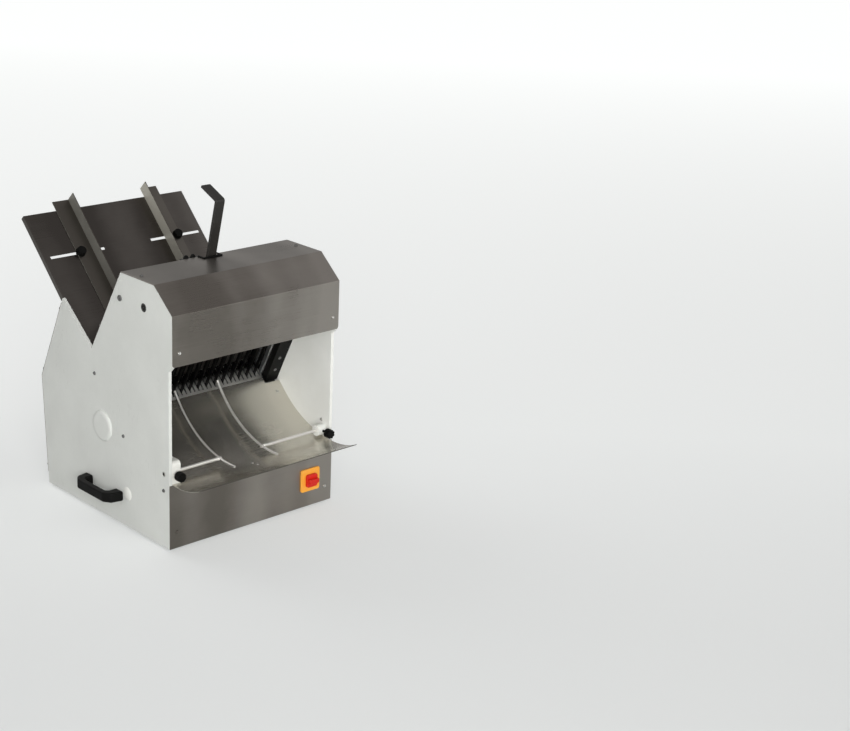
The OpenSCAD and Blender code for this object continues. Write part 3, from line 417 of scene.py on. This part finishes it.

# %% [markdown]
# ## The machine's steels
# Each steel has a dark and a light tone, its lowest roughness, and the stretch of its lines. Some
# pieces get copies of the same sheet with painted light and shade: the chute is lighter and the
# feed plate darker, and the guides' uprights are lighter and less metallic, for a painted sheen.

# %% Steel finishes
FINISH = {
    "stainless_sheet": sheet("stainless_sheet", (130, 125, 118), (178, 173, 166), 0.25),
    "bright_steel": bright_steel,
    "blade_steel": steel("blade_steel", (44, 44, 43), (86, 86, 84), 0.26, (900, 900, 40)),
    "motor_alloy": steel("motor_alloy", (120, 124, 130), (150, 154, 160), 0.42, (120, 400, 400), 0.15),
    "cast_pulley": steel("cast_pulley", (80, 80, 82), (112, 112, 114), 0.4, (500, 500, 500), 0.15),
}
# Painted light: the chute is a lighter, less metallic copy of the sheet.
chute_sheet_painted_light = sheet("chute_sheet_painted_light", (184, 180, 170), (216, 212, 202), 0.2, metal=0.9)
panel_sheet = sheet("panel_sheet", (128, 123, 116), (174, 169, 162), 0.28)
# Painted shade: the feed plate is a darker copy of the sheet.
feed_sheet_painted_shade = sheet("feed_sheet_painted_shade", (86, 82, 78), (124, 120, 115), 0.25)
guide_sheet = sheet("guide_sheet", (104, 100, 94), (134, 130, 123), 0.32)
# Painted sheen: the guides' uprights are lighter and less metallic, so lamp light stands in for
# reflections.
left_upright_painted_sheen = steel("left_upright_painted_sheen", (108, 106, 100), (150, 148, 140), 0.3, (900, 60, 60), metal=0.4)
right_upright_painted_sheen = steel("right_upright_painted_sheen", (156, 153, 142), (200, 197, 185), 0.34, (900, 60, 60), metal=0.3)
cut_edge = steel("cut_edge", (62, 60, 57), (88, 86, 82), 0.45, (600, 600, 600))
bar_steel = steel("bar_steel", (170, 172, 174), (200, 202, 204), 0.35, (500, 500, 60))
# Painted light: the comb is a lighter copy of the steel, and it gets painted shade with height below.
comb_steel_painted_light_and_shade = steel("comb_steel_painted_light_and_shade", (190, 189, 184), (222, 221, 216), 0.42, (400, 400, 400))
wire_steel = steel("wire_steel", (224, 222, 216), (244, 242, 237), 0.26, (300, 300, 300), 0.06, metal=0.7)
SPECIAL = {
    "outfeed_chute": chute_sheet_painted_light, "front_panel": panel_sheet,
    "feed_plate": feed_sheet_painted_shade, "blade_comb": comb_steel_painted_light_and_shade,
    "left_feed_guide": guide_sheet, "right_feed_guide": guide_sheet,
    "left_wire_guide": wire_steel, "right_wire_guide": wire_steel,
    "front_side_bars": bar_steel, "rear_side_bars": bar_steel,
}
print("materials so far:", len(bpy.data.materials))

# %% [markdown]
# ## Paint, plastic and rubber
# Powder coat is thick and slightly pebbled, so it gets a fine peel and a soft shine. Moulded
# plastic has a finer grain. The painted lever is handled all day, so its edges are rubbed down
# to the metal. Smudges, and scuffs on some of them, keep the coats from looking new.


# %% How a coat is made
COAT_SMUDGE_SCALE, COAT_SMUDGE_ROUGHNESS, PEEL_ROUGHNESS = 8.0, 0.07, 0.04
SCUFF_STRETCH, SCUFF_STRENGTH = (70, 70, 9), 0.5
RUBBED_METAL = 0.85


def coat(name, colour, shade, rough, peel, height, rub=0.0, bare=None, scratch=None, gloss=0.5):
    """A painted or moulded surface: two close shades, a pebbled peel, and wear where asked."""
    material, tree, shader = new_material(name)
    shader.inputs["Specular IOR Level"].default_value = gloss
    place = tree.nodes.new("ShaderNodeTexCoord").outputs["Object"]
    hands = use_group(tree, smudges, place, Scale=COAT_SMUDGE_SCALE)
    grain = use_group(tree, coat_peel, place, Scale=peel)
    look = mix_colour(tree, hands, srgb(*colour), srgb(*shade))
    pebbles = map_range(tree, grain, 0.3, 0.7, rough - PEEL_ROUGHNESS, rough + PEEL_ROUGHNESS)
    dulled = math_node(tree, "MULTIPLY", hands, COAT_SMUDGE_ROUGHNESS)
    if scratch:
        marks = use_group(tree, scuffs, place, Stretch=SCUFF_STRETCH)
        look = mix_colour(tree, math_node(tree, "MULTIPLY", marks, SCUFF_STRENGTH), look, srgb(*scratch))
    if rub:
        edges = use_group(tree, rubbed_edges, place, Radius=rub)
        look = mix_colour(tree, edges, look, srgb(*bare))
        tree.links.new(math_node(tree, "MULTIPLY", edges, RUBBED_METAL), shader.inputs["Metallic"])
    tree.links.new(look, shader.inputs["Base Color"])
    tree.links.new(math_node(tree, "ADD", pebbles, dulled), shader.inputs["Roughness"])
    bump(tree, shader, grain, height)
    return material


BARE = (150, 150, 148)
# A lighter copy of the white paint: painted light for the right plate's inner face.
white_paint_painted_light = coat("white_paint_painted_light", (240, 241, 236), (234, 235, 229), 0.42, 520.0, 0.00005)
print("nodes in one coat:", len(white_paint_painted_light.node_tree.nodes))

# %% [markdown]
# ## The machine's coats
# Each coat has two close shades, a roughness, the fineness of its peel and the peel's height in
# metres. The right plate is seen from its inside, and it looks brighter than the left one, so it
# has a lighter copy of the white paint: painted light for its inner face. The right rod block
# shares that copy.

# %% Coats
FINISH |= {
    "white_paint": coat("white_paint", (214, 216, 211), (208, 210, 205), 0.42, 520.0, 0.00003,
                        scratch=(186, 187, 182)),
    "grey_steel": coat("grey_steel", (92, 95, 98), (80, 82, 85), 0.45, 480.0, 0.00006, 0.0015, BARE),
    "black_paint": coat("black_paint", (30, 29, 27), (38, 36, 33), 0.38, 600.0, 0.00004, 0.0016, BARE),
    "black_plastic": coat("black_plastic", (8, 8, 7), (13, 13, 12), 0.48, 1100.0, 0.00004,
                          scratch=(40, 40, 38), gloss=0.12),
    "white_plastic": coat("white_plastic", (228, 228, 222), (220, 220, 213), 0.34, 900.0, 0.00002),
    "yellow_plastic": coat("yellow_plastic", (250, 178, 70), (246, 166, 54), 0.34, 900.0, 0.00002),
    "red_plastic": coat("red_plastic", (220, 34, 18), (206, 28, 14), 0.3, 900.0, 0.00002),
    "rubber": coat("rubber", (26, 26, 26), (38, 37, 36), 0.72, 800.0, 0.00006),
}
dark_steel = coat("dark_steel", (92, 92, 90), (78, 78, 76), 0.4, 900.0, 0.00002)
SPECIAL |= {
    # The right plate takes the painted light copy of the white paint.
    "right_side_plate": white_paint_painted_light,
    "left_bearing_cap": FINISH["white_paint"], "right_bearing_cap": FINISH["white_paint"],
    "round_plug": FINISH["white_plastic"], "right_rod_block": white_paint_painted_light, "pivot_pins": dark_steel,
}


def finish_of(node):
    """The finish of a CAD node: its own where it has one, or that of its material slot."""
    return SPECIAL.get(node, FINISH[slot_of[node]])


for name, node in nodes.items():
    node.data.materials.clear()
    node.data.materials.append(finish_of(name))
print("materials in all:", len(bpy.data.materials))

# %% [markdown]
# ## Rolled and broken edges
# No sheet, plate or moulding has a knife edge. A small round on each edge catches the light, and
# that thin bright line is what makes a piece look solid. The CAD mesh is loose triangles, so a
# copy is merged first and its flat triangles are dissolved into whole faces. A Bevel modifier
# then rounds only the sharp edges and leaves curved walls alone. A few pieces have faces with a
# second finish, picked by the way that they face: uprights with a painted sheen, a cut sheet edge, sawn
# ends.


# %% Worked copies
SAME_PLACE = 0.00001
FLAT_WITHIN, SHARP_FROM = math.radians(0.6), math.radians(32)


def merged_copy(node):
    """A bmesh copy of a CAD node with its triangles joined into whole faces."""
    shape = bmesh.new()
    shape.from_mesh(nodes[node].data)
    bmesh.ops.remove_doubles(shape, verts=shape.verts, dist=SAME_PLACE)
    bmesh.ops.dissolve_limit(shape, angle_limit=FLAT_WITHIN, verts=shape.verts, edges=shape.edges)
    return shape


def as_piece(shape, name, finish, body):
    """A finished mesh as a smooth object that rides on a body."""
    mesh = bpy.data.meshes.new(name)
    shape.to_mesh(mesh)
    shape.free()
    mesh.polygons.foreach_set("use_smooth", [True] * len(mesh.polygons))
    mesh.materials.append(finish)
    piece = bpy.data.objects.new(name, mesh)
    bpy.context.scene.collection.objects.link(piece)
    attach(piece, body)
    return piece


def round_edges(piece, width, segments):
    """Rounds the sharp edges of a piece and keeps its flat faces flat."""
    bevel = piece.modifiers.new("broken_edges", "BEVEL")
    bevel.width = width
    bevel.segments = segments
    bevel.profile = 0.5
    bevel.limit_method = "ANGLE"
    bevel.angle_limit = SHARP_FROM
    flatten = piece.modifiers.new("flat_faces", "WEIGHTED_NORMAL")
    flatten.mode = "FACE_AREA"
    flatten.weight = 100


def stand_for(shape, node, width, segments=2):
    """A worked copy of a CAD node that stands for it, with its edges rounded."""
    piece = as_piece(shape, node + "_finished", finish_of(node), body_of[node])
    round_edges(piece, width, segments)
    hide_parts(node)
    return piece


trial = merged_copy("left_side_plate")
triangles = nodes["left_side_plate"].data.polygons
print("left side plate:", len(triangles), "triangles, merged into", len(trial.faces), "faces")
trial.free()

# %% Pieces with broken edges
WIDE_ROUND = 0.002
EDGE_ROUNDS = {
    "left_side_plate": 0.0008, "right_side_plate": 0.0008,
    "front_panel": 0.0005, "rear_cover": 0.0005, "feed_plate": 0.0005,
    "outfeed_chute": 0.0003, "left_feed_guide": 0.0006, "right_feed_guide": 0.0006,
    "left_guide_channel": 0.0015, "right_guide_channel": 0.0015,
    "left_handle": 0.005, "right_handle": 0.005,
    "left_rod_block": 0.002, "right_rod_block": 0.002,
    "pusher_arms": 0.0008, "pusher_plate": 0.0012,
    "left_clamp_knob": 0.0008, "right_clamp_knob": 0.0008,
    "left_wire_guide": 0.0008, "right_wire_guide": 0.0008,
    "rubber_feet": 0.0012, "cable_gland": 0.0008, "base_plate": 0.0006,
    "rear_top_bar": 0.0006, "front_top_bar": 0.0006,
    "rear_side_bars": 0.0006, "front_side_bars": 0.0006,
}
OTHER_FACES = {
    # The uprights take the painted sheen finishes.
    "left_feed_guide": (left_upright_painted_sheen, lambda normal: abs(normal.x) > 0.9),
    "right_feed_guide": (right_upright_painted_sheen, lambda normal: abs(normal.x) > 0.9),
    "outfeed_chute": (cut_edge, lambda normal: normal.y < -0.8),
    "left_wire_guide": (cut_edge, lambda normal: normal.x < -0.95),
    "right_wire_guide": (cut_edge, lambda normal: normal.x > 0.95),
}
for node, width in EDGE_ROUNDS.items():
    piece = stand_for(merged_copy(node), node, width, 4 if width > WIDE_ROUND else 2)
    if node in OTHER_FACES:
        other, picked = OTHER_FACES[node]
        piece.data.materials.append(other)
        for face in piece.data.polygons:
            face.material_index = int(picked(face.normal))
print("pieces with broken edges:", len(EDGE_ROUNDS))

# %% [markdown]
# ## Comb
# The comb is a strip at the top of the chute with a sawn slot for every blade. In the photo the
# slots look wider than in the construction, so both walls of each slot are moved apart. Its steel
# is a lighter copy, as painted light, and the finish mixes to a near-black colour with height, as
# painted shade of the machine's inside above the slots.

# %% Comb
BLADE_PITCH, SLOT_HALF, SLOT_MOVE, SLOT_NEAR = 0.012, 0.0015, 0.0008, 0.00002
# Painted shade: the near-black colour that the comb's finish mixes to with height.
PAINTED_SHADE_COLOUR = srgb(14, 13, 12)
PAINTED_SHADE_STARTS, PAINTED_SHADE_FULL = 0.5, 0.72


def off_slot(vert):
    """How far a corner of the comb lies from the middle of the nearest slot, along X."""
    return vert.co.x - BLADE_PITCH * round(vert.co.x / BLADE_PITCH)


def paint_shade_upwards(material, low, high):
    """Paints shade into a finish, darker upwards between two heights."""
    tree = material.node_tree
    colour = tree.nodes["Principled BSDF"].inputs["Base Color"]
    clean = colour.links[0].from_socket
    height = tree.nodes.new("ShaderNodeSeparateXYZ")
    tree.links.new(tree.nodes.new("ShaderNodeTexCoord").outputs["Object"], height.inputs[0])
    amount = map_range(tree, height.outputs["Z"], low, high, 0, 1)
    tree.links.new(mix_colour(tree, amount, clean, PAINTED_SHADE_COLOUR), colour)


comb = merged_copy("blade_comb")
for side in (-1, 1):
    walls = [v for v in comb.verts if abs(off_slot(v) - side * SLOT_HALF) < SLOT_NEAR]
    bmesh.ops.translate(comb, vec=(side * SLOT_MOVE, 0, 0), verts=walls)
stand_for(comb, "blade_comb", 0.0004)
comb_low, comb_high = (corner[2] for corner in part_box("blade_comb"))
comb_rise = comb_high - comb_low
# Painted shade on the comb's upper part.
paint_shade_upwards(comb_steel_painted_light_and_shade, comb_low + PAINTED_SHADE_STARTS * comb_rise, comb_low + PAINTED_SHADE_FULL * comb_rise)
print("slot wall corners moved:", 2 * len(walls))

# %% [markdown]
# ## Feed guide knobs
# In the photo the knobs that clamp the feed guides look lower and narrower than in the
# construction. Their heads are scaled in a space of their own: its Z is square to the sloped
# feed plate, and its origin lies where the knob presses on the guide, so the knob stays seated
# and its stud keeps its size.

# %% Feed guide knobs
FEED_SLOPE = math.radians(44.5)
KNOB_UP_SLOPE, KNOB_SEAT = 0.57001, 0.22855
STUD_RADIUS, A_TOUCH = 0.003, 0.0001
KNOB_NARROWER, KNOB_LOWER = 0.88, 0.65

feed_normal = Vector((0, -math.sin(FEED_SLOPE), math.cos(FEED_SLOPE)))
up_slope = Vector((0, math.cos(FEED_SLOPE), math.sin(FEED_SLOPE)))
for node in ("left_guide_knob", "right_guide_knob"):
    feed_knob = merged_copy(node)
    (low_x, *_), (high_x, *_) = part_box(node)
    seat = feed_normal * KNOB_SEAT + up_slope * KNOB_UP_SLOPE + Vector(((low_x + high_x) / 2, 0, 0))
    head = [v for v in feed_knob.verts
            if (v.co - seat).dot(feed_normal) > -A_TOUCH
            and (v.co - seat).cross(feed_normal).length > STUD_RADIUS + A_TOUCH]
    knob_space = Matrix.Translation(seat) @ feed_normal.to_track_quat("Z", "X").to_matrix().to_4x4()
    bmesh.ops.scale(
        feed_knob, vec=(KNOB_NARROWER, KNOB_NARROWER, KNOB_LOWER), space=knob_space.inverted(), verts=head)
    stand_for(feed_knob, node, 0.001)
    print(node, "head corners:", len(head))

# %% [markdown]
# ## Round corners
# The cover's lower corners and the switch plate's corners are rounded, so that nobody is cut by
# them. These rounds are larger than a broken edge and belong to a few edges only. The edges are
# found by where they lie and which way they run, and a bevel with several segments rounds them.


# %% Corner rounds
STRAIGHT = 0.99
NEAR = 0.0002
COVER_CORNER, SWITCH_CORNER = 0.007, 0.005


def edge_way(edge):
    """The unit direction of an edge."""
    return (edge.verts[0].co - edge.verts[1].co).normalized()


def corner_edges(shape, test):
    """The edges along Y whose two ends both pass a test."""
    return [edge for edge in shape.edges
            if abs(edge_way(edge).y) > STRAIGHT and all(test(v.co) for v in edge.verts)]


def round_corners(shape, edges, radius):
    """Rounds some corners of a sheet or plate."""
    bmesh.ops.bevel(
        shape, geom=edges, offset=radius, offset_type="OFFSET",
        affect="EDGES", segments=6, profile=0.5, material=-1)
    bmesh.ops.recalc_face_normals(shape, faces=shape.faces)


def low_corner(place):
    """True at the lower outer corners of the cover's front face."""
    return abs(place.x) > cover_box[1][0] - NEAR and place.z < cover_box[0][2] + NEAR


def plate_corner(place):
    """True at the four corners of the switch plate."""
    return all(
        min(abs(place[axis] - plate_box[0][axis]), abs(place[axis] - plate_box[1][axis])) < NEAR
        for axis in (0, 2))


cover = merged_copy("top_cover")
cover_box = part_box("top_cover")
low_edges = corner_edges(cover, low_corner)
round_corners(cover, low_edges, COVER_CORNER)
stand_for(cover, "top_cover", 0.0005)

switch_cover = merged_copy("switch_plate")
plate_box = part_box("switch_plate")
plate_edges = corner_edges(switch_cover, plate_corner)
round_corners(switch_cover, plate_edges, SWITCH_CORNER)
stand_for(switch_cover, "switch_plate", 0.0014, 4)
print("rounded corners:", len(low_edges), "on the cover,", len(plate_edges), "on the switch plate")

# %% [markdown]
# ## Bent lever
# The lever is one flat bar, bent over at the top for the hand. A bar can't be bent to a sharp
# corner: the outside of the bend is a wide round and the inside a tight one. Both bend lines run
# across the bar, along X, and lie near the elbow, which is how they are found.

# %% Lever
ELBOW, ELBOW_REACH = (-0.1184, 0.7434), 0.012
INNER_BEND, OUTER_BEND = 0.002, 0.006
lever = merged_copy("push_lever")
bends = sorted(
    (e for e in lever.edges
     if abs(edge_way(e).x) > STRAIGHT
     and math.dist((e.verts[0].co.y, e.verts[0].co.z), ELBOW) < ELBOW_REACH),
    key=lambda e: e.verts[0].co.z,
)
for edge, radius in zip(bends, (INNER_BEND, OUTER_BEND)):
    round_corners(lever, [edge], radius)
stand_for(lever, "push_lever", 0.001)
print("lever bends:", len(bends))

# %% [markdown]
# ## Switch knob
# The red knob is a moulding: a rounded square base, with a narrower grip across it for the
# fingers. Each slab starts as one flat face. Its corners are bevelled as vertices, and the
# outline is pulled forwards, so the walls come out straight and the corners round.


# %% Knob
KNOB_GAP = 0.0003
# Half width, half height and corner radius of the two slabs.
KNOB_BASE, KNOB_GRIP = (0.0158, 0.0158, 0.0055), (0.0148, 0.006, 0.003)


def pull_face(shape, face, step):
    """A face pulled straight along a step, with walls behind it."""
    pulled = bmesh.ops.extrude_face_region(shape, geom=[face], use_keep_orig=True)
    bmesh.ops.translate(
        shape, vec=step, verts=[v for v in pulled["geom"] if isinstance(v, bmesh.types.BMVert)])


def rounded_slab(shape, middle, half_x, half_z, corner, depth):
    """A slab with rounded corners, pulled towards the front from a flat outline."""
    outline = [shape.verts.new(middle + Vector((x * half_x, 0, z * half_z)))
               for x, z in ((-1, -1), (1, -1), (1, 1), (-1, 1))]
    shape.faces.new(outline)
    rounds = bmesh.ops.bevel(
        shape, geom=outline, offset=corner, affect="VERTICES", segments=5, profile=0.5, material=-1)
    pull_face(shape, next(f for v in rounds["verts"] for f in v.link_faces), (0, -depth, 0))


knob_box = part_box("switch_knob")
knob_middle = Vector((
    (knob_box[0][0] + knob_box[1][0]) / 2,
    plate_box[0][1] - KNOB_GAP,
    (knob_box[0][2] + knob_box[1][2]) / 2,
))
knob_depth = knob_middle.y - knob_box[0][1]
knob = bmesh.new()
rounded_slab(knob, knob_middle, *KNOB_BASE, knob_depth * 0.5)
rounded_slab(knob, knob_middle, *KNOB_GRIP, knob_depth)
bmesh.ops.recalc_face_normals(knob, faces=knob.faces)
stand_for(knob, "switch_knob", 0.0012, 3)
print("knob depth:", round(knob_depth * 1000, 1), "mm")

# %% [markdown]
# ## Screw heads
# A plain disc never reads as a screw. Each head gets the sunk socket that a driver fits: its
# outer cap is inset once for the rim and a second time, downwards, for the socket. The heads on
# the front sheets are bright, apart from a dull one low on the left, and the others are dark, as
# in the photo.


# %% Sunk sockets
CAP_CORNERS = 12
SOCKET_STEP = 0.0003
SCREW_SOCKET, SCREW_ROUND = (0.0014, 0.0012), 0.0003
END_SOCKETS = {"pivot_pins": (0.0028, 0.0018), "upper_tie_bar": (0.0042, 0.004)}
HEAD_AREA = 0.0000513
FRONT_HEADS, LOW_HEADS = -0.2452, 0.09


def sink_sockets(shape, caps, rim, depth):
    """Insets flat caps to a rim and sinks what is left."""
    bmesh.ops.inset_individual(shape, faces=caps, thickness=rim, use_even_offset=True)
    bmesh.ops.inset_individual(shape, faces=caps, thickness=SOCKET_STEP, depth=-depth, use_even_offset=True)


def outer_faces(shape):
    """Round end caps that face outwards on the side plates."""
    reach = max(abs(v.co.x) for v in shape.verts) - NEAR
    return [f for f in shape.faces
            if len(f.verts) > CAP_CORNERS and all(abs(v.co.x) > reach for v in f.verts)]


def screw_kind(place):
    """The piece a screw belongs to: bright heads in front, a dull low one, dark ones at the sides."""
    if place.y >= FRONT_HEADS:
        return "dark_screws"
    return "dull_screw" if place.x < 0 and place.z < LOW_HEADS else "pan_screws_finished"


SCREW_FINISH = {"pan_screws_finished": bright_steel, "dull_screw": panel_sheet, "dark_screws": dark_steel}
for name, finish in SCREW_FINISH.items():
    screws = merged_copy("pan_screws")
    others = [v for v in screws.verts if screw_kind(v.co) != name]
    bmesh.ops.delete(screws, geom=others, context="VERTS")
    caps = [f for f in screws.faces if len(f.verts) > CAP_CORNERS and f.calc_area() < HEAD_AREA]
    sink_sockets(screws, caps, *SCREW_SOCKET)
    piece = as_piece(screws, name, finish, body_of["pan_screws"])
    round_edges(piece, SCREW_ROUND, 2)
    if name == "pan_screws_finished":
        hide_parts("pan_screws")
    print(name, "heads:", len(caps))

for node, (rim, depth) in END_SOCKETS.items():
    turned_end = merged_copy(node)
    ends = outer_faces(turned_end)
    sink_sockets(turned_end, ends, rim, depth)
    stand_for(turned_end, node, 0.0006)
    print(node, "sockets:", len(ends))

# %% [markdown]
# ## Turned shapes
# Screw heads, rivets, weld beads and domed caps are all turned shapes: a short profile, spun once
# round its own axis. Places are given in the construction's millimetres, from the cover's front
# plane and the lower edge of the plates, and one function brings them into the frame.

# %% How a shape is turned
MID_Y, FOOT_HEIGHT = 265.209, 5.0
TURN_STEPS = 28
LEFT, RIGHT, UP = Vector((-1, 0, 0)), Vector((1, 0, 0)), Vector((0, 0, 1))


def placed(x, y, z):
    """A place in the machine's own millimetres, in the frame's metres."""
    return Vector((x, y - MID_Y, z + FOOT_HEIGHT)) / 1000


def turned(spots, profile):
    """A profile of (radius, height) millimetres spun round an axis at each (place, axis)."""
    shape = bmesh.new()
    for place, axis in spots:
        side = axis.orthogonal().normalized()
        points = [shape.verts.new(place + (side * r + axis * h) / 1000) for r, h in profile]
        lines = [shape.edges.new(pair) for pair in zip(points, points[1:])]
        bmesh.ops.spin(
            shape, geom=points + lines, cent=place, axis=axis,
            angle=math.tau, steps=TURN_STEPS, use_merge=True)
    bmesh.ops.remove_doubles(shape, verts=shape.verts, dist=SAME_PLACE / 2)
    bmesh.ops.recalc_face_normals(shape, faces=shape.faces)
    return shape


print("the cover's front plane lies at Y", round(placed(0, 0, 0).y, 4), "m")

# %% [markdown]
# ## Screws and rivets
# Screws hold the black guide channels, the chute and the right rod holder. The channels lean with
# the blades, so their screws stand square to that slope, and the chute's stand square to its upper
# end. Two light marks on the chute are taken for rivets.

# %% Screws and rivets
BLADE_TILT = math.radians(26.5)
CRANK = (270.0, 218.5)
CHANNEL_FRONT, CHANNEL_SIDE, CHANNEL_UP = 0.038, 0.208, (0.09, 0.128, 0.23)
CHUTE_CENTRE, CHUTE_RADIUS, CHUTE_SIDE = (-5.04, 421.95), 0.268, 0.206
PAN_HEAD = [(0, 0.9), (1.5, 0.9), (1.8, 1.9), (3.0, 1.7), (3.9, 1.0), (4.2, 0)]
FLAT_HEAD = [(0, 0.1), (1.6, 0.1), (1.9, 0.7), (4.0, 0.6), (4.4, 0)]
RIVET = [(0, 0.9), (1.6, 0.75), (2.7, 0.3), (3.0, 0)]

blade_up = Vector((0, -math.sin(BLADE_TILT), math.cos(BLADE_TILT)))
blade_front = Vector((0, -math.cos(BLADE_TILT), -math.sin(BLADE_TILT)))
channel_face = placed(0, *CRANK) + blade_front * CHANNEL_FRONT
chute_end = placed(0, *CHUTE_CENTRE) - feed_normal * CHUTE_RADIUS
channel_spots = [(channel_face + blade_up * up + side * CHANNEL_SIDE, blade_front)
                 for side in (LEFT, RIGHT) for up in CHANNEL_UP]
chute_spots = [(chute_end + side * CHUTE_SIDE, feed_normal) for side in (LEFT, RIGHT)]
FASTENERS = {
    "channel_screws": (channel_spots, PAN_HEAD, dark_steel),
    "chute_screws": (chute_spots, FLAT_HEAD, bright_steel),
    "chute_rivets": ([(placed(-8, 7, 154.25), UP), (placed(-4, -7, 153.97), UP)], RIVET, wire_steel),
    "holder_screw": ([(placed(227, 43, 196), LEFT)], PAN_HEAD, bright_steel),
}
machine = body_of["pan_screws"]
for name, (spots, profile, finish) in FASTENERS.items():
    as_piece(turned(spots, profile), name, finish, machine)
    print(name, len(spots))

# %% [markdown]
# ## Domed caps and weld beads
# The photo shows a bright crescent on the left plate's bearing cap and plug, so they are built as
# domes with a wide round rim. A bead of weld joins each wire to its rod.

# %% Domes and welds
ROD = (35.0, 175.18)
PLATE_FACE, PLUG_PLACE = 235, (176, 81)
CAP = [(0, 6), (27.5, 6), (29, 5.9), (32, 5.3), (34.6, 3.9), (36.3, 2.0), (37, 0)]
PLUG = [(0, 3), (5, 2.9), (9.5, 2.4), (13, 1.5), (15.3, 0.6), (16, 0)]
WELD_BEAD = [(3.9, 1.4), (5.0, 2.2), (5.3, 3.2), (4.7, 4.6), (3.95, 6.0)]
DOMES = {
    "left_bearing_cap": (placed(-PLATE_FACE, *CRANK), LEFT, CAP),
    "right_bearing_cap": (placed(PLATE_FACE, *CRANK), RIGHT, CAP),
    "round_plug": (placed(-PLATE_FACE, *PLUG_PLACE), LEFT, PLUG),
}
WELDS = {"left_wire_guide": (placed(-81, *ROD), LEFT), "right_wire_guide": (placed(42, *ROD), RIGHT)}

for node, (place, axis, profile) in DOMES.items():
    dome = as_piece(
        turned([(place, axis)], profile), node + "_finished", finish_of(node), body_of[node])
    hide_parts(node)
for node, spot in WELDS.items():
    as_piece(turned([spot], WELD_BEAD), node + "_weld", wire_steel, body_of[node])
print("domes:", len(DOMES), "welds:", len(WELDS))

# %% [markdown]
# ## Lever bracket and trim
# The photo shows black bits beside the lever and at its foot, and these pieces are a guess at
# them. A black angle hangs behind the cover's rear fold, one length on each side of the lever,
# and a black plastic trim runs round the lever's opening. Two capped nuts hold the longer length
# of the angle. The angle and the trim are outlines pulled straight along one axis, and the nuts
# are turned domes.

# %% Bracket
ANGLE_SPANS = ((-64, -15), (15, 30))
ANGLE = [(191.4, 588), (193.4, 588), (193.4, 598), (207, 598), (207, 600), (191.4, 600)]
CAP_NUT = [(0, 8.5), (2.8, 8.0), (4.8, 6.2), (5.4, 3.6), (6.6, 3.3), (6.8, 0)]
NUT_ACROSS, NUT_BACK, ANGLE_TOP = (-52, -33), 200, 600
TRIM_FOOT, TRIM_HEIGHT = 603.02, 0.003
TRIM = [(-27, 191), (-27, 167.5), (27, 167.5), (27, 191),
        (22.8, 191), (22.8, 171.8), (-22.8, 171.8), (-22.8, 191)]


def pull(shape, outline, step):
    """A closed outline of places pulled straight along a step, as a solid."""
    pull_face(shape, shape.faces.new([shape.verts.new(place) for place in outline]), step)
    bmesh.ops.recalc_face_normals(shape, faces=shape.faces)


bracket = bmesh.new()
for start, end in ANGLE_SPANS:
    pull(bracket, [placed(start, y, z) for y, z in ANGLE], ((end - start) / 1000, 0, 0))
angle = as_piece(bracket, "lever_bracket", FINISH["black_paint"], machine)
round_edges(angle, 0.0004, 2)
seal = bmesh.new()
pull(seal, [placed(x, y, TRIM_FOOT) for x, y in TRIM], (0, 0, TRIM_HEIGHT))
trim = as_piece(seal, "lever_trim", FINISH["black_plastic"], machine)
round_edges(trim, 0.0008, 3)
nut_spots = [(placed(x, NUT_BACK, ANGLE_TOP), UP) for x in NUT_ACROSS]
as_piece(turned(nut_spots, CAP_NUT), "bracket_nuts", FINISH["black_plastic"], machine)
print("bracket lengths:", len(ANGLE_SPANS), "trim corners:", len(TRIM), "nuts:", len(nut_spots))
